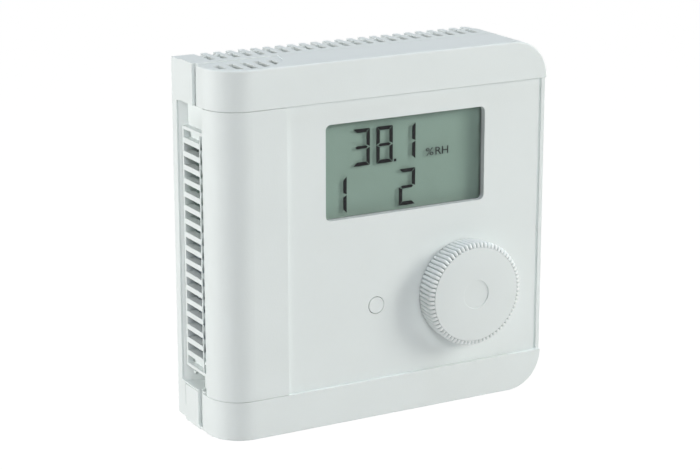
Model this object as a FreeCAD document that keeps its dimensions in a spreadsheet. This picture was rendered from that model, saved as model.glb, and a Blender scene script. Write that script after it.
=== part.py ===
import FreeCAD, Part
import os
import re

import Sketcher

# Room hygrostat for a wall. Millimetres, +Z up, +X right seen from the front, the front faces -Y.
# The origin is the centre of the back face. A "depth" counts forward from the wall, so it is -Y.

SIZES = [
    # Housing
    ("width", 100, "housing, left to right"),
    ("height", 100, "housing, bottom to top"),
    ("depth", 28, "wall to the front of the bands"),
    ("wall", 2, "wall of the base and the cover"),
    ("corner_radius", 10.5, "right corners, seen from the front"),
    ("pillar_flat", 0.3, "flat side of the pillar behind its rounding"),
    ("edge_radius", 0.5, "small rounding of the moulded edges"),
    ("seam_radius", 0.15, "small rounding of the bands and the pillar along their seam"),
    ("seat_gap", 0.2, "gap between the base and the cover"),
    # Wall plate
    ("plate_depth", 4.5, "wall plate, wall to its front rim"),
    ("plate_web", 2, "web of the wall plate"),
    ("plate_short_top", 0.3, "wall plate set back from the top"),
    ("plate_short_bottom", 0.8, "wall plate set back from the bottom"),
    ("plate_slot_depth", 3.2, "air slots in the plate's rim, from the wall"),
    ("plate_slot_rise", 2.6, "air slots in the plate's rim, inwards from the edge"),
    ("plate_slot_shift", 0.5, "plate slots beside the base slots"),
    ("wall_screw_pitch", 60, "screws of the flush box"),
    ("wall_screw_hole", 4.4, "diameter of the wall screw holes"),
    ("cable_width", 28, "cable entry, left to right"),
    ("cable_top", 8, "top of the cable entry, below the middle"),
    ("cable_bottom", 24, "bottom of the cable entry, below the middle"),
    # Air slots of the base
    ("vent_left", 7, "centre of the first slot from the left side"),
    ("vent_right", 12.48, "centre of the last slot from the right side"),
    ("vent_count", 23, "slots in the row"),
    ("vent_width", 1.9, "one slot"),
    ("vent_back", 5.2, "back end of the slots"),
    ("vent_front", 10.6, "front end of the slots"),
    # Base housing
    ("base_front", 13.4, "front rim of the base"),
    ("base_floor", 1.5, "floor of the base"),
    ("base_screw_inset", 8, "screws that hold the base on the plate, from the sides"),
    ("base_screw_shank", 2.6, "shank diameter"),
    ("base_screw_head", 5, "head diameter"),
    ("head_room", 0.25, "clearance round a head"),
    ("base_boss", 6.4, "boss diameter on the wall plate"),
    # Side window
    ("window_short_top", 0.6, "left window ends below the top band"),
    ("window_short_bottom", 0.2, "left window ends above the bottom band"),
    ("window_back", 2.7, "back edge of the left window"),
    ("recess_deep", 6.6, "recess below the louvre, behind the outside"),
    ("recess_high", 3.2, "recess below the louvre, above the sill"),
    ("window_inset", 2.5, "inner side wall behind the outside, and the sloped back of the window, sideways"),
    ("inner_wall", 1.6, "inner side wall"),
    ("inner_wall_lap", 0.2, "inner side wall in front of the pillar's back edge"),
    ("shadow_back", 12.5, "shadow line on the left side, back"),
    ("shadow_front", 15.3, "shadow line on the left side, front"),
    ("shadow_sink", 1, "shadow line, sunk into the side"),
    ("shadow_foot", 1, "end of the shadow line above the bottom"),
    ("slit_sink", 0.25, "fine slits on the left side, sunk into it"),
    ("slit_width", 0.25, "fine slits on the left side"),
    ("slit_drop", 0.35, "slit under the sill, below it"),
    ("slit_foot", 4.2, "lower end of the upright slit above the bottom"),
    ("frame_slit_sink", 0.8, "slit round the window, sideways"),
    ("frame_slit_width", 0.3, "slit round the window"),
    # Louvre
    ("louvre_drop", 6.5, "louvre below the top of the window"),
    ("louvre_rise", 4.59, "louvre above the sill of the window"),
    ("louvre_gap", 0.2, "louvre behind the pillar's back edge"),
    ("louvre_inset", 0.65, "louvre behind the outside"),
    ("louvre_deep", 2.4, "slats, sideways"),
    ("louvre_rail", 0.4, "upright rail between the columns of openings"),
    ("narrow_gap", 1.9, "second column of openings, front to back"),
    ("narrow_high", 2, "height of one opening of the second column"),
    ("narrow_sink", 0.6, "bars between the openings of the second column, behind the slats"),
    ("slat_skin", 0.25, "thickness of the slats' front ends"),
    ("slat_thinned", 1.6, "thin front end of a slat, front to back"),
    ("slat_count", 18, "openings in the louvre"),
    ("slat_gap", 2.25, "height of one opening"),
    ("louvre_edge", 0.85, "top and bottom bars of the louvre"),
    ("louvre_fit", 0.1, "clearance of the louvre in the side wall"),
    ("louvre_lip", 0.7, "louvre's rim in front of the side wall"),
    ("lug_left", 2.65, "small lug on the recess's sloped wall, behind the outside"),
    ("lug_width", 1.35, "small lug, sideways"),
    ("lug_rise", 2.05, "small lug above the sill"),
    ("lug_thick", 0.55, "small lug, height"),
    ("lug_front", 5.7, "front of the small lug"),
    ("notch_radius", 0.55, "half-round notch under the lug"),
    ("tab_left", 2.95, "small tab on the sill, behind the outside"),
    ("tab_thick", 1, "small tab, sideways"),
    ("tab_back", 10.85, "small tab on the sill, from the wall"),
    ("tab_rise", 1.45, "small tab above the sill"),
    # Cover
    ("band", 10.8, "top and bottom bands, up and down"),
    ("seam", 0.1, "gap between the bands and the pillar"),
    ("panel_fit", 0.05, "gap between the cover and the panel"),
    ("pillar_back", 18, "back edge of the pillar"),
    ("panel_recess", 1, "panel behind the bands"),
    ("ledge", 2, "ledge of the cover behind the fascia"),
    ("ledge_thick", 1.5, "ledge, front to back"),
    ("strip_width", 1.1, "strip right of the groove"),
    ("groove_width", 0.65, "groove at the panel's right edge"),
    ("groove_deep", 0.7, "groove at the panel's right edge"),
    # Air slots of the cover
    ("top_slot_left", 4.4, "first slot in the cover from the left side"),
    ("top_slot_pitch", 3.8, "from slot to slot"),
    ("top_slot_count", 5, "slots in the cover"),
    ("top_slot_back", 10.5, "back ends of the slots, behind the front"),
    ("top_ring_left", 12, "centre of the round patch from the left side"),
    ("top_ring_back", 14, "centre of the round patch, behind the front"),
    ("top_ring_radius", 12.2, "radius of the round patch"),
    ("top_ring_sink", 0.2, "round patch, sunk into the top"),
    ("top_slot_margin", 0.6, "slot ends inside the round patch"),
    # Fascia
    ("fascia_wall", 1.6, "wall of the fascia"),
    ("pillar_wide", 19.6, "pillar, left to right"),
    ("pillar_fillet", 0.6, "hollow between the pillar and the panel"),
    ("lcd_right", 19.4, "window of the display from the right side"),
    ("lcd_top", 6.2, "window of the display below the top band"),
    ("lcd_width", 49.2, "window of the display"),
    ("lcd_height", 26.1, "window of the display"),
    ("lcd_corner", 1.5, "corners of the window"),
    # Display, from its front glass backwards
    ("glass_sink", 2.1, "display behind the panel"),
    ("glass_lap_x", 2.4, "glass behind the fascia, each side of the window"),
    ("glass_lap_z", 2.45, "front glass behind the fascia, above and below the window"),
    ("glass_thick", 0.7, "one glass"),
    ("rear_glass_lap_z", 0.25, "rear glass behind the fascia, above and below the window"),
    ("segment_thick", 0.1, "printed segments between the glasses"),
    ("reflector_thick", 0.2, "reflector behind the rear glass"),
    ("holder_wall", 1.4, "wall of the display holder"),
    ("holder_fit", 0.15, "clearance round the glass"),
    ("strip_thick", 1.8, "rubber contact strips"),
    # Figures on the display
    ("figure_width", 5, "one figure"),
    ("figure_height", 10.1, "one figure"),
    ("figure_pitch", 7.05, "from figure to figure"),
    ("figure_right", 4.3, "right edge of the last figure, right of the display's centre"),
    ("figure_foot", 0.2, "foot of the upper row above the display's centre"),
    ("row_drop", 12.45, "lower row under the upper row"),
    ("stroke", 1, "width of a segment"),
    ("stroke_gap", 0.22, "gap between segments"),
    ("point_size", 0.75, "decimal point"),
    # Control board, in the cover
    ("control_shift", 1.15, "control board's back in front of the middle of the inner space"),
    ("board_thick", 1.6, "circuit boards"),
    ("control_left", 25.6, "control board from the left side"),
    ("control_right", 5, "control board from the right side"),
    ("control_top", 1.6, "control board below the top band"),
    ("control_bottom", 3.2, "control board above the bottom band"),
    ("post_size", 5, "posts for the board screws"),
    ("post_left", 29, "left posts from the left side"),
    ("post_right", 8, "right posts from the right side"),
    ("post_low", 7.2, "lower posts above the bottom band"),
    ("post_drop", 8.9, "upper left post below the display holder"),
    ("post_rise", 9.05, "upper right post above the display's centre"),
    ("screw_shank", 1.8, "board screws"),
    ("screw_head", 3.8, "board screws"),
    ("screw_head_high", 1.4, "board screws"),
    ("screw_short", 1, "board screws end behind the panel"),
    ("slot_width", 0.7, "slots in the screw heads"),
    ("slot_deep", 0.7, "slots in the screw heads"),
    ("screw_fit", 0.05, "clearance round a shank"),
    # Knob
    ("knob_right", 25.8, "knob's axis from the right side"),
    ("knob_z", -17.6, "knob, above the middle"),
    ("knob_radius", 14.4, "over the ridges"),
    ("knob_proud", 6.2, "knob in front of the bands"),
    ("knob_gap", 0.4, "knob in front of the panel"),
    ("knob_bevel", 1.1, "rounded rim of the knob"),
    ("knob_skirt", 1.6, "wall of the knob's skirt"),
    ("knob_roof", 2, "wall of the knob's front"),
    ("knob_hub", 9, "hub diameter"),
    ("knob_dimple", 7.9, "shallow disc in the knob's face"),
    ("knob_dimple_deep", 0.2, "shallow disc in the knob's face"),
    ("ridge_count", 72, "ridges round the knob"),
    ("ridge_groove", 0.38, "radius of the grooves between ridges"),
    # Encoder
    ("shaft_size", 6, "encoder shaft"),
    ("shaft_fit", 0.05, "running clearance of the shaft"),
    ("bush_size", 7, "threaded bush of the encoder"),
    ("bush_sink", 0.4, "bush behind the panel's face"),
    ("bush_fit", 0.3, "clearance of the bush in the fascia"),
    ("encoder_size", 12, "encoder body"),
    ("encoder_gap", 0.5, "encoder body behind the panel's wall"),
    ("shaft_rise", 0.6, "back end of the shaft above the board"),
    ("shaft_short", 2.8, "front end of the shaft behind the knob's front"),
    # Button
    ("button_left", 27.4, "button left of the knob's axis"),
    ("button_drop", 0.8, "button below the knob's axis"),
    ("button_size", 4.5, "button cap"),
    ("button_fit", 0.2, "gap round the button cap"),
    ("button_proud", 0.1, "cap in front of the panel"),
    ("button_flange", 6.4, "flange behind the fascia"),
    ("button_flange_thick", 0.7, "flange behind the fascia"),
    ("button_stop", 0.1, "flange behind the fascia's back"),
    ("button_travel", 0.5, "travel of the button"),
    ("switch_size", 6, "key switch body"),
    ("switch_gap", 2, "key switch body behind the panel's wall"),
    ("plunger_size", 3.4, "key switch plunger"),
    ("plunger_fit", 0.1, "clearance round the plunger"),
    ("plunger_sink", 0.8, "plunger inside the switch"),
    ("plunger_proud", 0.5, "plunger in front of the switch"),
    # Power board, in the base
    ("power_back", 7.5, "back of the power board"),
    ("power_side", 12, "power board from the sides"),
    ("power_rise", 38, "power board above and below the middle"),
    ("power_hole_inset", 4, "screw holes of the power board from its edges"),
    ("power_leg", 18, "power board each side of the cable space"),
    ("power_cut_top", -4, "top of the cable space in the board"),
    ("relay_inset", 7.5, "middle of the relays from the board's left edge"),
    ("relay_wide", 10, "relays"),
    ("relay_long", 19, "relays"),
    ("relay_high", 9.6, "relays above the board"),
    ("relay_low", -27.5, "foot of the lower relay"),
    ("relay_pitch", 20.5, "from relay to relay"),
    ("relay_vent", 0.8, "vent hole in a relay, square"),
    ("relay_vent_inset", 1.5, "vent hole from two sides of the relay"),
    ("relay_vent_deep", 0.4, "vent hole in a relay"),
    ("supply_left", -17, "supply terminals, left end"),
    ("supply_ways", 3, "supply terminals"),
    ("output_left", 1.5, "relay terminals, left end"),
    ("output_ways", 6, "relay terminals"),
    ("way_pitch", 5.08, "from terminal to terminal"),
    ("terminal_foot", -3, "foot of the terminal blocks"),
    ("terminal_deep", 8, "terminal blocks, bottom to top"),
    ("terminal_clear", 0.9, "terminal blocks behind the control board"),
    ("mouth", 3.4, "wire mouth, square"),
    ("mouth_deep", 6, "wire mouth, inwards"),
    ("mouth_back", 1.2, "wire mouth above the board"),
    ("clamp_screw", 3, "terminal screws, diameter"),
    ("clamp_screw_sink", 1.6, "terminal screws inside their shafts"),
    ("clamp_plate", 0.8, "clamp plates"),
    ("converter_wide", 15, "power converter"),
    ("converter_long", 22, "power converter"),
    ("converter_clear", 1.1, "power converter behind the control board"),
    ("converter_inset", 1.5, "power converter from the board's right edge"),
    ("converter_foot", -28, "power converter, foot"),
    ("capacitor_size", 6.3, "capacitors"),
    ("capacitor_clear", 1.7, "capacitors behind the control board"),
    ("capacitor_inset", 5, "middle of the capacitors from the board's right edge"),
    ("capacitor_z", 13, "lower capacitor"),
    ("capacitor_pitch", 8, "from capacitor to capacitor"),
    ("capacitor_count", 2, "capacitors"),
    ("fuse_size", 5, "end caps of the glass fuse, diameter"),
    ("fuse_tube", 4.5, "glass of the fuse, diameter"),
    ("fuse_long", 20, "glass fuse"),
    ("fuse_left", -14, "fuse, left end"),
    ("fuse_z", 27, "fuse, above the middle"),
    ("fuse_cap", 5, "metal end caps of the fuse"),
    ("varistor_size", 7.4, "varistor disc"),
    ("varistor_thick", 3.6, "varistor disc"),
    ("varistor_x", 14, "varistor, sideways"),
    ("varistor_z", 30, "varistor, above the middle"),
    ("socket_left", -8, "board socket, left end"),
    ("socket_foot", 12, "board socket, foot"),
    ("socket_wide", 5, "board socket"),
    ("socket_clear", 1, "board socket behind the plastic strip of the pins"),
    ("pin_count", 8, "pins between the boards"),
    ("pin_pitch", 2.54, "from pin to pin"),
    ("pin_size", 0.64, "square pins"),
    ("pin_fit", 0.4, "room round the pins"),
    ("pin_rise", 1.3, "back ends of the pins above the power board"),
    ("header_thick", 2.5, "plastic strip of the pins"),
    # Humidity sensor
    ("sensor_board_thick", 1, "sensor board"),
    ("sensor_board_gap", 3.8, "sensor board right of the inner side wall"),
    ("sensor_board_high", 18, "sensor board, bottom to top"),
    ("sensor_board_foot", 3, "sensor board, foot"),
    ("sensor_board_short", 1, "sensor board behind the front edge of the inner side wall"),
    ("sensor_size", 3, "humidity sensor, square"),
    ("sensor_thick", 1.1, "humidity sensor"),
    ("sensor_shelf", 3, "shelf that carries the sensor board, up and down"),
    ("sensor_shelf_lip", 1, "shelf beside the sensor board"),
    # Chips
    ("chip_size", 10, "microcontroller, square"),
    ("chip_thick", 1.4, "microcontroller"),
    ("chip_x", 2, "microcontroller, sideways"),
    ("chip_rise", 13.2, "middle of the chips above the bottom band"),
    ("small_chip_long", 4.9, "small chips"),
    ("small_chip_wide", 3.9, "small chips"),
    ("small_chip_thick", 1.3, "small chips"),
    ("small_chip_x", -14, "first small chip"),
    ("small_chip_pitch", 7, "from small chip to small chip"),
    ("small_chip_count", 2, "small chips"),
]

doc = FreeCAD.newDocument("Hygrostat")
sheet = doc.addObject("Spreadsheet::Sheet", "Sizes")
for line, (alias, number, note) in enumerate(SIZES, start=1):
    sheet.set(f"A{line}", note)
    sheet.set(f"B{line}", str(number))
    sheet.setAlias(f"B{line}", alias)
doc.recompute()

ALIASES = {alias for alias, number, note in SIZES}
BEYOND = "1"
# Where the corners of an outline lie before their places are solved.
START = FreeCAD.Vector(10, 0, 0)
UP = FreeCAD.Vector(0, 0, 1)
FORWARD = FreeCAD.Rotation(FreeCAD.Vector(1, 0, 0), 90)


def tied(text):
    """The expression text with each size's name pointed at its cell in the sheet."""
    return re.sub(r"[a-z_]+", lambda word: f"Sizes.{word[0]}" if word[0] in ALIASES else word[0], text)


def value(text):
    """The number that an expression comes to."""
    return float(sheet.evalExpression(text))


# Where several pieces share a place, the expression is written once, here.
FLOOR = "plate_depth + base_floor"
COVER_BACK = "base_front + seat_gap"
PANEL = "depth - panel_recess"
PANEL_BACK = f"{PANEL} - fascia_wall"
PILLAR_RADIUS = "depth - pillar_back - pillar_flat"
PILLAR_EDGE = "-width / 2 + pillar_wide"
PANEL_RIGHT = "width / 2 - strip_width - groove_width"
BAND_EDGE = "height / 2 - band"
PILLAR_HALF = f"{BAND_EDGE} - seam"
PANEL_HALF = f"{BAND_EDGE} - panel_fit"
INNER_WALL_FACE = "-width / 2 + window_inset"
INNER_WALL_FRONT = "pillar_back + inner_wall_lap"
HOLLOW_LEFT = f"{INNER_WALL_FACE} + inner_wall"
WINDOW_TOP = f"{BAND_EDGE} - window_short_top"
WINDOW_FOOT = f"-({BAND_EDGE}) + window_short_bottom"
VENT_FIRST = "-width / 2 + vent_left"
VENT_PITCH = "(width - vent_left - vent_right) / (vent_count - 1)"
LOUVRE_FACE = "-width / 2 + louvre_inset"
LOUVRE_FRONT = "pillar_back - louvre_gap"
LOUVRE_BACK = "plate_depth + louvre_fit"
LOUVRE_TOP = f"{WINDOW_TOP} - louvre_drop"
LOUVRE_FOOT = f"{WINDOW_FOOT} + louvre_rise"
RECESS_IN = "-width / 2 + recess_deep"
RECESS_TURN = "window_back + recess_deep * (plate_depth - window_back) / window_inset"
RECESS_END = "-base_front + inner_wall"
SLAT_PITCH = f"({LOUVRE_TOP} - ({LOUVRE_FOOT}) - 2 * louvre_edge - slat_gap) / (slat_count - 1)"
FIRST_GAP = f"{LOUVRE_FOOT} + louvre_edge"
CORE_FOOT = f"{FIRST_GAP} + slat_gap + louvre_lip"
CORE_TOP = f"{LOUVRE_TOP} - louvre_edge - slat_gap - louvre_lip"
LCD_X = "width / 2 - lcd_right - lcd_width / 2"
LCD_Z = f"{BAND_EDGE} - lcd_top - lcd_height / 2"
GLASS_FRONT = f"{PANEL} - glass_sink"
SEGMENT_FRONT = f"{GLASS_FRONT} - glass_thick"
REAR_GLASS_FRONT = f"{SEGMENT_FRONT} - segment_thick"
REFLECTOR_FRONT = f"{REAR_GLASS_FRONT} - glass_thick"
GLASS_HALF_X = "lcd_width / 2 + glass_lap_x"
GLASS_HALF_Z = "lcd_height / 2 + glass_lap_z"
REAR_GLASS_HALF_Z = "lcd_height / 2 + rear_glass_lap_z"
POWER_FRONT = "power_back + board_thick"
CONTROL_BACK = f"({POWER_FRONT} + {PANEL_BACK}) / 2 + control_shift"
CONTROL_FRONT = f"{CONTROL_BACK} + board_thick"
CHIP_Z = f"-({BAND_EDGE}) + chip_rise"
KNOB_X = "width / 2 - knob_right"
KNOB_FRONT = "depth + knob_proud"
BUTTON_X = f"{KNOB_X} - button_left"
BUTTON_Z = "knob_z - button_drop"
SWITCH_FRONT = f"{PANEL_BACK} - switch_gap"
POWER_HALF = "width / 2 - power_side"
POWER_CUT_HALF = f"{POWER_HALF} - power_leg"
POWER_HOLE_X = f"{POWER_HALF} - power_hole_inset"
POWER_HOLE_Z = "power_rise - power_hole_inset"
RELAY_X = f"-({POWER_HALF}) + relay_inset"
TERMINAL_FRONT = f"{CONTROL_BACK} - terminal_clear"
HEADER_BACK = f"{CONTROL_BACK} - header_thick"
PIN_BACK = f"{POWER_FRONT} + pin_rise"
SENSOR_LEFT = f"{HOLLOW_LEFT} + sensor_board_gap"
SENSOR_FRONT = f"{INNER_WALL_FRONT} - sensor_board_short"
SENSOR_MIDDLE = "sensor_board_foot + sensor_board_high / 2"
DISPLAY_WINDOW = ((f"{LCD_X} - lcd_width / 2", f"{LCD_X} + lcd_width / 2"),
                  (f"{LCD_Z} - lcd_height / 2", f"{LCD_Z} + lcd_height / 2"))
CONTROL_POSTS = [
    ("-width / 2 + post_left", f"-({BAND_EDGE}) + post_low"),
    ("width / 2 - post_right", f"-({BAND_EDGE}) + post_low"),
    ("-width / 2 + post_left", f"{LCD_Z} - ({GLASS_HALF_Z}) - holder_fit - holder_wall - post_drop"),
    ("width / 2 - post_right", f"{LCD_Z} + post_rise"),
]


# Sketches and features

def new_body(name):
    body = doc.addObject("PartDesign::Body", name)
    body.Label = name
    return body


def new_sketch(body, plane, name, offset="0"):
    """A sketch on one of the body's own origin planes, moved along its normal."""
    sketch = body.newObject("Sketcher::SketchObject", name)
    support = next(item for item in body.Origin.OriginFeatures if item.Role == plane)
    sketch.AttachmentSupport = [(support, "")]
    sketch.MapMode = "FlatFace"
    sketch.setExpression("AttachmentOffset.Base.z", tied(offset))
    return sketch


def polygon(sketch, points):
    """A closed outline. Each corner is a pair of expressions, counted from the sketch's origin."""
    count = len(points)
    first = sketch.GeometryCount
    start = [FreeCAD.Rotation(UP, 360 * i / count).multVec(START) for i in range(count)]
    for i in range(count):
        sketch.addGeometry(Part.LineSegment(start[i], start[(i + 1) % count]), False)
    for i in range(count):
        sketch.addConstraint(Sketcher.Constraint("Coincident", first + i, 2, first + (i + 1) % count, 1))
    for i, (across, up) in enumerate(points):
        place = sketch.addConstraint(Sketcher.Constraint("DistanceX", -1, 1, first + i, 1, start[i].x))
        sketch.setExpression(f"Constraints[{place}]", tied(across))
        place = sketch.addConstraint(Sketcher.Constraint("DistanceY", -1, 1, first + i, 1, start[i].y))
        sketch.setExpression(f"Constraints[{place}]", tied(up))


def rectangle(sketch, across, up):
    """A rectangle between two pairs of expressions."""
    polygon(sketch, [(across[0], up[0]), (across[1], up[0]), (across[1], up[1]), (across[0], up[1])])


def circle(sketch, radius, across, up):
    first = sketch.GeometryCount
    sketch.addGeometry(Part.Circle(START, UP, START.x), False)
    for kind, text in (("DistanceX", across), ("DistanceY", up)):
        place = sketch.addConstraint(Sketcher.Constraint(kind, -1, 1, first, 3, START.x))
        sketch.setExpression(f"Constraints[{place}]", tied(text))
    place = sketch.addConstraint(Sketcher.Constraint("Radius", first, 3))
    sketch.setExpression(f"Constraints[{place}]", tied(radius))


def settle(feature):
    """Recomputes, and stops at a feature that failed."""
    doc.recompute()
    if "Invalid" in feature.State or "Error" in feature.State or feature.Shape.isNull():
        raise RuntimeError(f"{feature.Name} failed: {feature.State}")


def pad(body, sketch, length):
    """Adds along the sketch's normal."""
    feature = body.newObject("PartDesign::Pad", sketch.Name + "_pad")
    feature.Profile = sketch
    feature.setExpression("Length", tied(length))
    body.Tip = feature
    settle(feature)
    return feature


def pocket(body, sketch, length, along_normal=True):
    """Cuts along the sketch's normal, or against it, and makes sure that something was cut."""
    before = body.Shape.Volume
    feature = body.newObject("PartDesign::Pocket", sketch.Name + "_pocket")
    feature.Profile = sketch
    feature.Reversed = along_normal
    feature.setExpression("Length", tied(length))
    body.Tip = feature
    settle(feature)
    if body.Shape.Volume >= before:
        raise RuntimeError(f"{feature.Name} cuts nothing")
    return feature


def row(body, feature, sketch, axis, pitch, count):
    """Repeats a feature in a straight row."""
    pattern = body.newObject("PartDesign::LinearPattern", feature.Name + "_row")
    pattern.Originals = [feature]
    pattern.Direction = (sketch, [axis])
    pattern.Mode = "Spacing"
    pattern.setExpression("Offset", tied(pitch))
    pattern.setExpression("Occurrences", tied(count))
    body.Tip = pattern
    settle(pattern)
    return pattern


def round_edges(body, name, radius, chosen):
    """Rounds the edges of the body's tip that the test picks out."""
    base = body.Tip
    names = [f"Edge{i}" for i, edge in enumerate(base.Shape.Edges, start=1) if chosen(edge)]
    if not names:
        raise RuntimeError(f"{name} finds no edge")
    fillet = body.newObject("PartDesign::Fillet", name)
    fillet.Base = (base, names)
    fillet.setExpression("Radius", tied(radius))
    body.Tip = fillet
    settle(fillet)
    return fillet


def lies(edge, **places):
    """Whether every point of an edge lies at the given x, y or z."""
    points = [vertex.Point for vertex in edge.Vertexes] + [edge.CenterOfMass]
    return all(abs(getattr(point, axis) - place) < 0.01 for point in points for axis, place in places.items())


def along(edge, axis):
    """Whether an edge is a straight line along x, y or z."""
    if not isinstance(edge.Curve, Part.Line):
        return False
    return abs(getattr(edge.Curve.Direction, axis)) > 0.999


# Primitives

def block(name, across, depth, up):
    """A box between three pairs of expressions. The middle pair counts forward from the wall."""
    box = doc.addObject("Part::Box", name)
    box.setExpression("Length", tied(f"({across[1]}) - ({across[0]})"))
    box.setExpression("Width", tied(f"({depth[1]}) - ({depth[0]})"))
    box.setExpression("Height", tied(f"({up[1]}) - ({up[0]})"))
    box.setExpression("Placement.Base.x", tied(across[0]))
    box.setExpression("Placement.Base.y", tied(f"-({depth[1]})"))
    box.setExpression("Placement.Base.z", tied(up[0]))
    return box


def rod(name, diameter, across, depth, up):
    """A cylinder that runs forward from the wall, between a pair of depths."""
    cylinder = doc.addObject("Part::Cylinder", name)
    cylinder.Placement = FreeCAD.Placement(FreeCAD.Vector(), FORWARD)
    cylinder.setExpression("Radius", tied(f"({diameter}) / 2"))
    cylinder.setExpression("Height", tied(f"({depth[1]}) - ({depth[0]})"))
    cylinder.setExpression("Placement.Base.x", tied(across))
    cylinder.setExpression("Placement.Base.y", tied(f"-({depth[0]})"))
    cylinder.setExpression("Placement.Base.z", tied(up))
    return cylinder


def rod_across(name, diameter, across, depth, up):
    """A cylinder that runs from left to right."""
    cylinder = doc.addObject("Part::Cylinder", name)
    cylinder.Placement = FreeCAD.Placement(FreeCAD.Vector(), FreeCAD.Rotation(FreeCAD.Vector(0, 1, 0), 90))
    cylinder.setExpression("Radius", tied(f"({diameter}) / 2"))
    cylinder.setExpression("Height", tied(f"({across[1]}) - ({across[0]})"))
    cylinder.setExpression("Placement.Base.x", tied(across[0]))
    cylinder.setExpression("Placement.Base.y", tied(f"-({depth})"))
    cylinder.setExpression("Placement.Base.z", tied(up))
    return cylinder


def fuse(name, shapes):
    result = doc.addObject("Part::MultiFuse", name)
    result.Shapes = shapes
    result.Refine = True
    return result


def cut(name, base, tools):
    """The base less the tools."""
    result = doc.addObject("Part::Cut", name)
    result.Base = base
    result.Tool = tools[0] if len(tools) == 1 else fuse(name + "_tools", tools)
    return result


def group(name, items):
    """Like pieces that share a node, each a solid of its own."""
    result = doc.addObject("Part::Compound", name)
    result.Links = items
    return result


def screw(name, shank, head, across, up, head_back, head_high, length, forward):
    """A pan head screw with a slot. It points forward, away from the wall, or back towards it."""
    head_front = f"({head_back}) + ({head_high})"
    if forward:
        shank_span = (head_front, f"({head_front}) + ({length})")
        slot_span = (f"({head_back}) - {BEYOND}", f"({head_back}) + slot_deep")
    else:
        shank_span = (f"({head_back}) - ({length})", head_back)
        slot_span = (f"({head_front}) - slot_deep", f"({head_front}) + {BEYOND}")
    head_rod = rod(name + "_head", head, across, (head_back, head_front), up)
    shank_rod = rod(name + "_shank", shank, across, shank_span, up)
    slot = block(name + "_slot", (f"({across}) - ({head})", f"({across}) + ({head})"), slot_span,
                 (f"({up}) - slot_width / 2", f"({up}) + slot_width / 2"))
    return cut(name, fuse(name + "_solid", [head_rod, shank_rod]), [slot])


# Wall plate and base

def screw_corners(body, plane_offset, radius, name):
    """Four circles at the base screws."""
    sketch = new_sketch(body, "XZ_Plane", name, plane_offset)
    for side in ("", "-"):
        for rise in ("", "-"):
            circle(sketch, radius, f"{side}(width / 2 - base_screw_inset)",
                   f"{rise}(height / 2 - base_screw_inset)")
    return sketch


def cable_window(body, name, offset, length):
    sketch = new_sketch(body, "XZ_Plane", name, offset)
    rectangle(sketch, ("-cable_width / 2", "cable_width / 2"), ("-cable_bottom", "-cable_top"))
    pocket(body, sketch, length)


def make_wall_plate():
    body = new_body("wall_plate")
    outline = new_sketch(body, "XZ_Plane", "plate_outline")
    rectangle(outline, ("-width / 2", "width / 2"),
              ("-height / 2 + plate_short_bottom", "height / 2 - plate_short_top"))
    pad(body, outline, "plate_depth")
    half = value("width / 2")
    tray = new_sketch(body, "XZ_Plane", "plate_tray", "plate_web")
    rectangle(tray, ("-width / 2 + wall", "width / 2 - wall"),
              ("-height / 2 + plate_short_bottom + wall", "height / 2 - plate_short_top - wall"))
    pocket(body, tray, "plate_depth - plate_web")
    inside = value("width / 2 - wall")
    round_edges(body, "plate_inner_corners", "corner_radius - wall",
                lambda e: along(e, "y") and lies(e, x=inside))
    round_edges(body, "plate_corners", "corner_radius", lambda e: along(e, "y") and lies(e, x=half))
    backing = new_sketch(body, "XZ_Plane", "window_backing", "plate_web")
    rectangle(backing, ("-width / 2 + wall", HOLLOW_LEFT), (WINDOW_FOOT, WINDOW_TOP))
    pad(body, backing, "plate_depth - plate_web")
    slope = new_sketch(body, "XY_Plane", "plate_slope", WINDOW_FOOT)
    polygon(slope, [("-width / 2", "-window_back"), (INNER_WALL_FACE, "-plate_depth"),
                    ("-width / 2", "-plate_depth")])
    pocket(body, slope, f"{WINDOW_TOP} - ({WINDOW_FOOT})")
    frame_slit = new_sketch(body, "XY_Plane", "window_slit_back", WINDOW_FOOT)
    rectangle(frame_slit, (f"-width / 2 - {BEYOND}", "-width / 2 + frame_slit_sink"),
              ("-window_back - frame_slit_width", "-window_back"))
    pocket(body, frame_slit, f"{WINDOW_TOP} - ({WINDOW_FOOT})")
    bosses = screw_corners(body, "plate_web", "base_boss / 2", "plate_bosses")
    pad(body, bosses, "plate_depth - plate_web")
    holes = screw_corners(body, "plate_web / 2", "base_screw_shank / 2 + screw_fit", "plate_boss_holes")
    pocket(body, holes, "plate_depth")
    slots = new_sketch(body, "XZ_Plane", "plate_slots")
    across = (f"{VENT_FIRST} - vent_width / 2 + plate_slot_shift",
              f"{VENT_FIRST} + vent_width / 2 + plate_slot_shift")
    rectangle(slots, across, ("height / 2 - plate_slot_rise", f"height / 2 + {BEYOND}"))
    rectangle(slots, across, (f"-height / 2 - {BEYOND}",
                              "-height / 2 + plate_short_bottom + plate_slot_rise"))
    slot = pocket(body, slots, "plate_slot_depth")
    row(body, slot, slots, "H_Axis", VENT_PITCH, "vent_count")
    cable_window(body, "plate_cable_window", "0", "plate_web")
    wall_holes = new_sketch(body, "XZ_Plane", "wall_screw_holes")
    for side in ("", "-"):
        circle(wall_holes, "wall_screw_hole / 2", f"{side}wall_screw_pitch / 2", "0")
    pocket(body, wall_holes, "plate_web")
    return body


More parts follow.
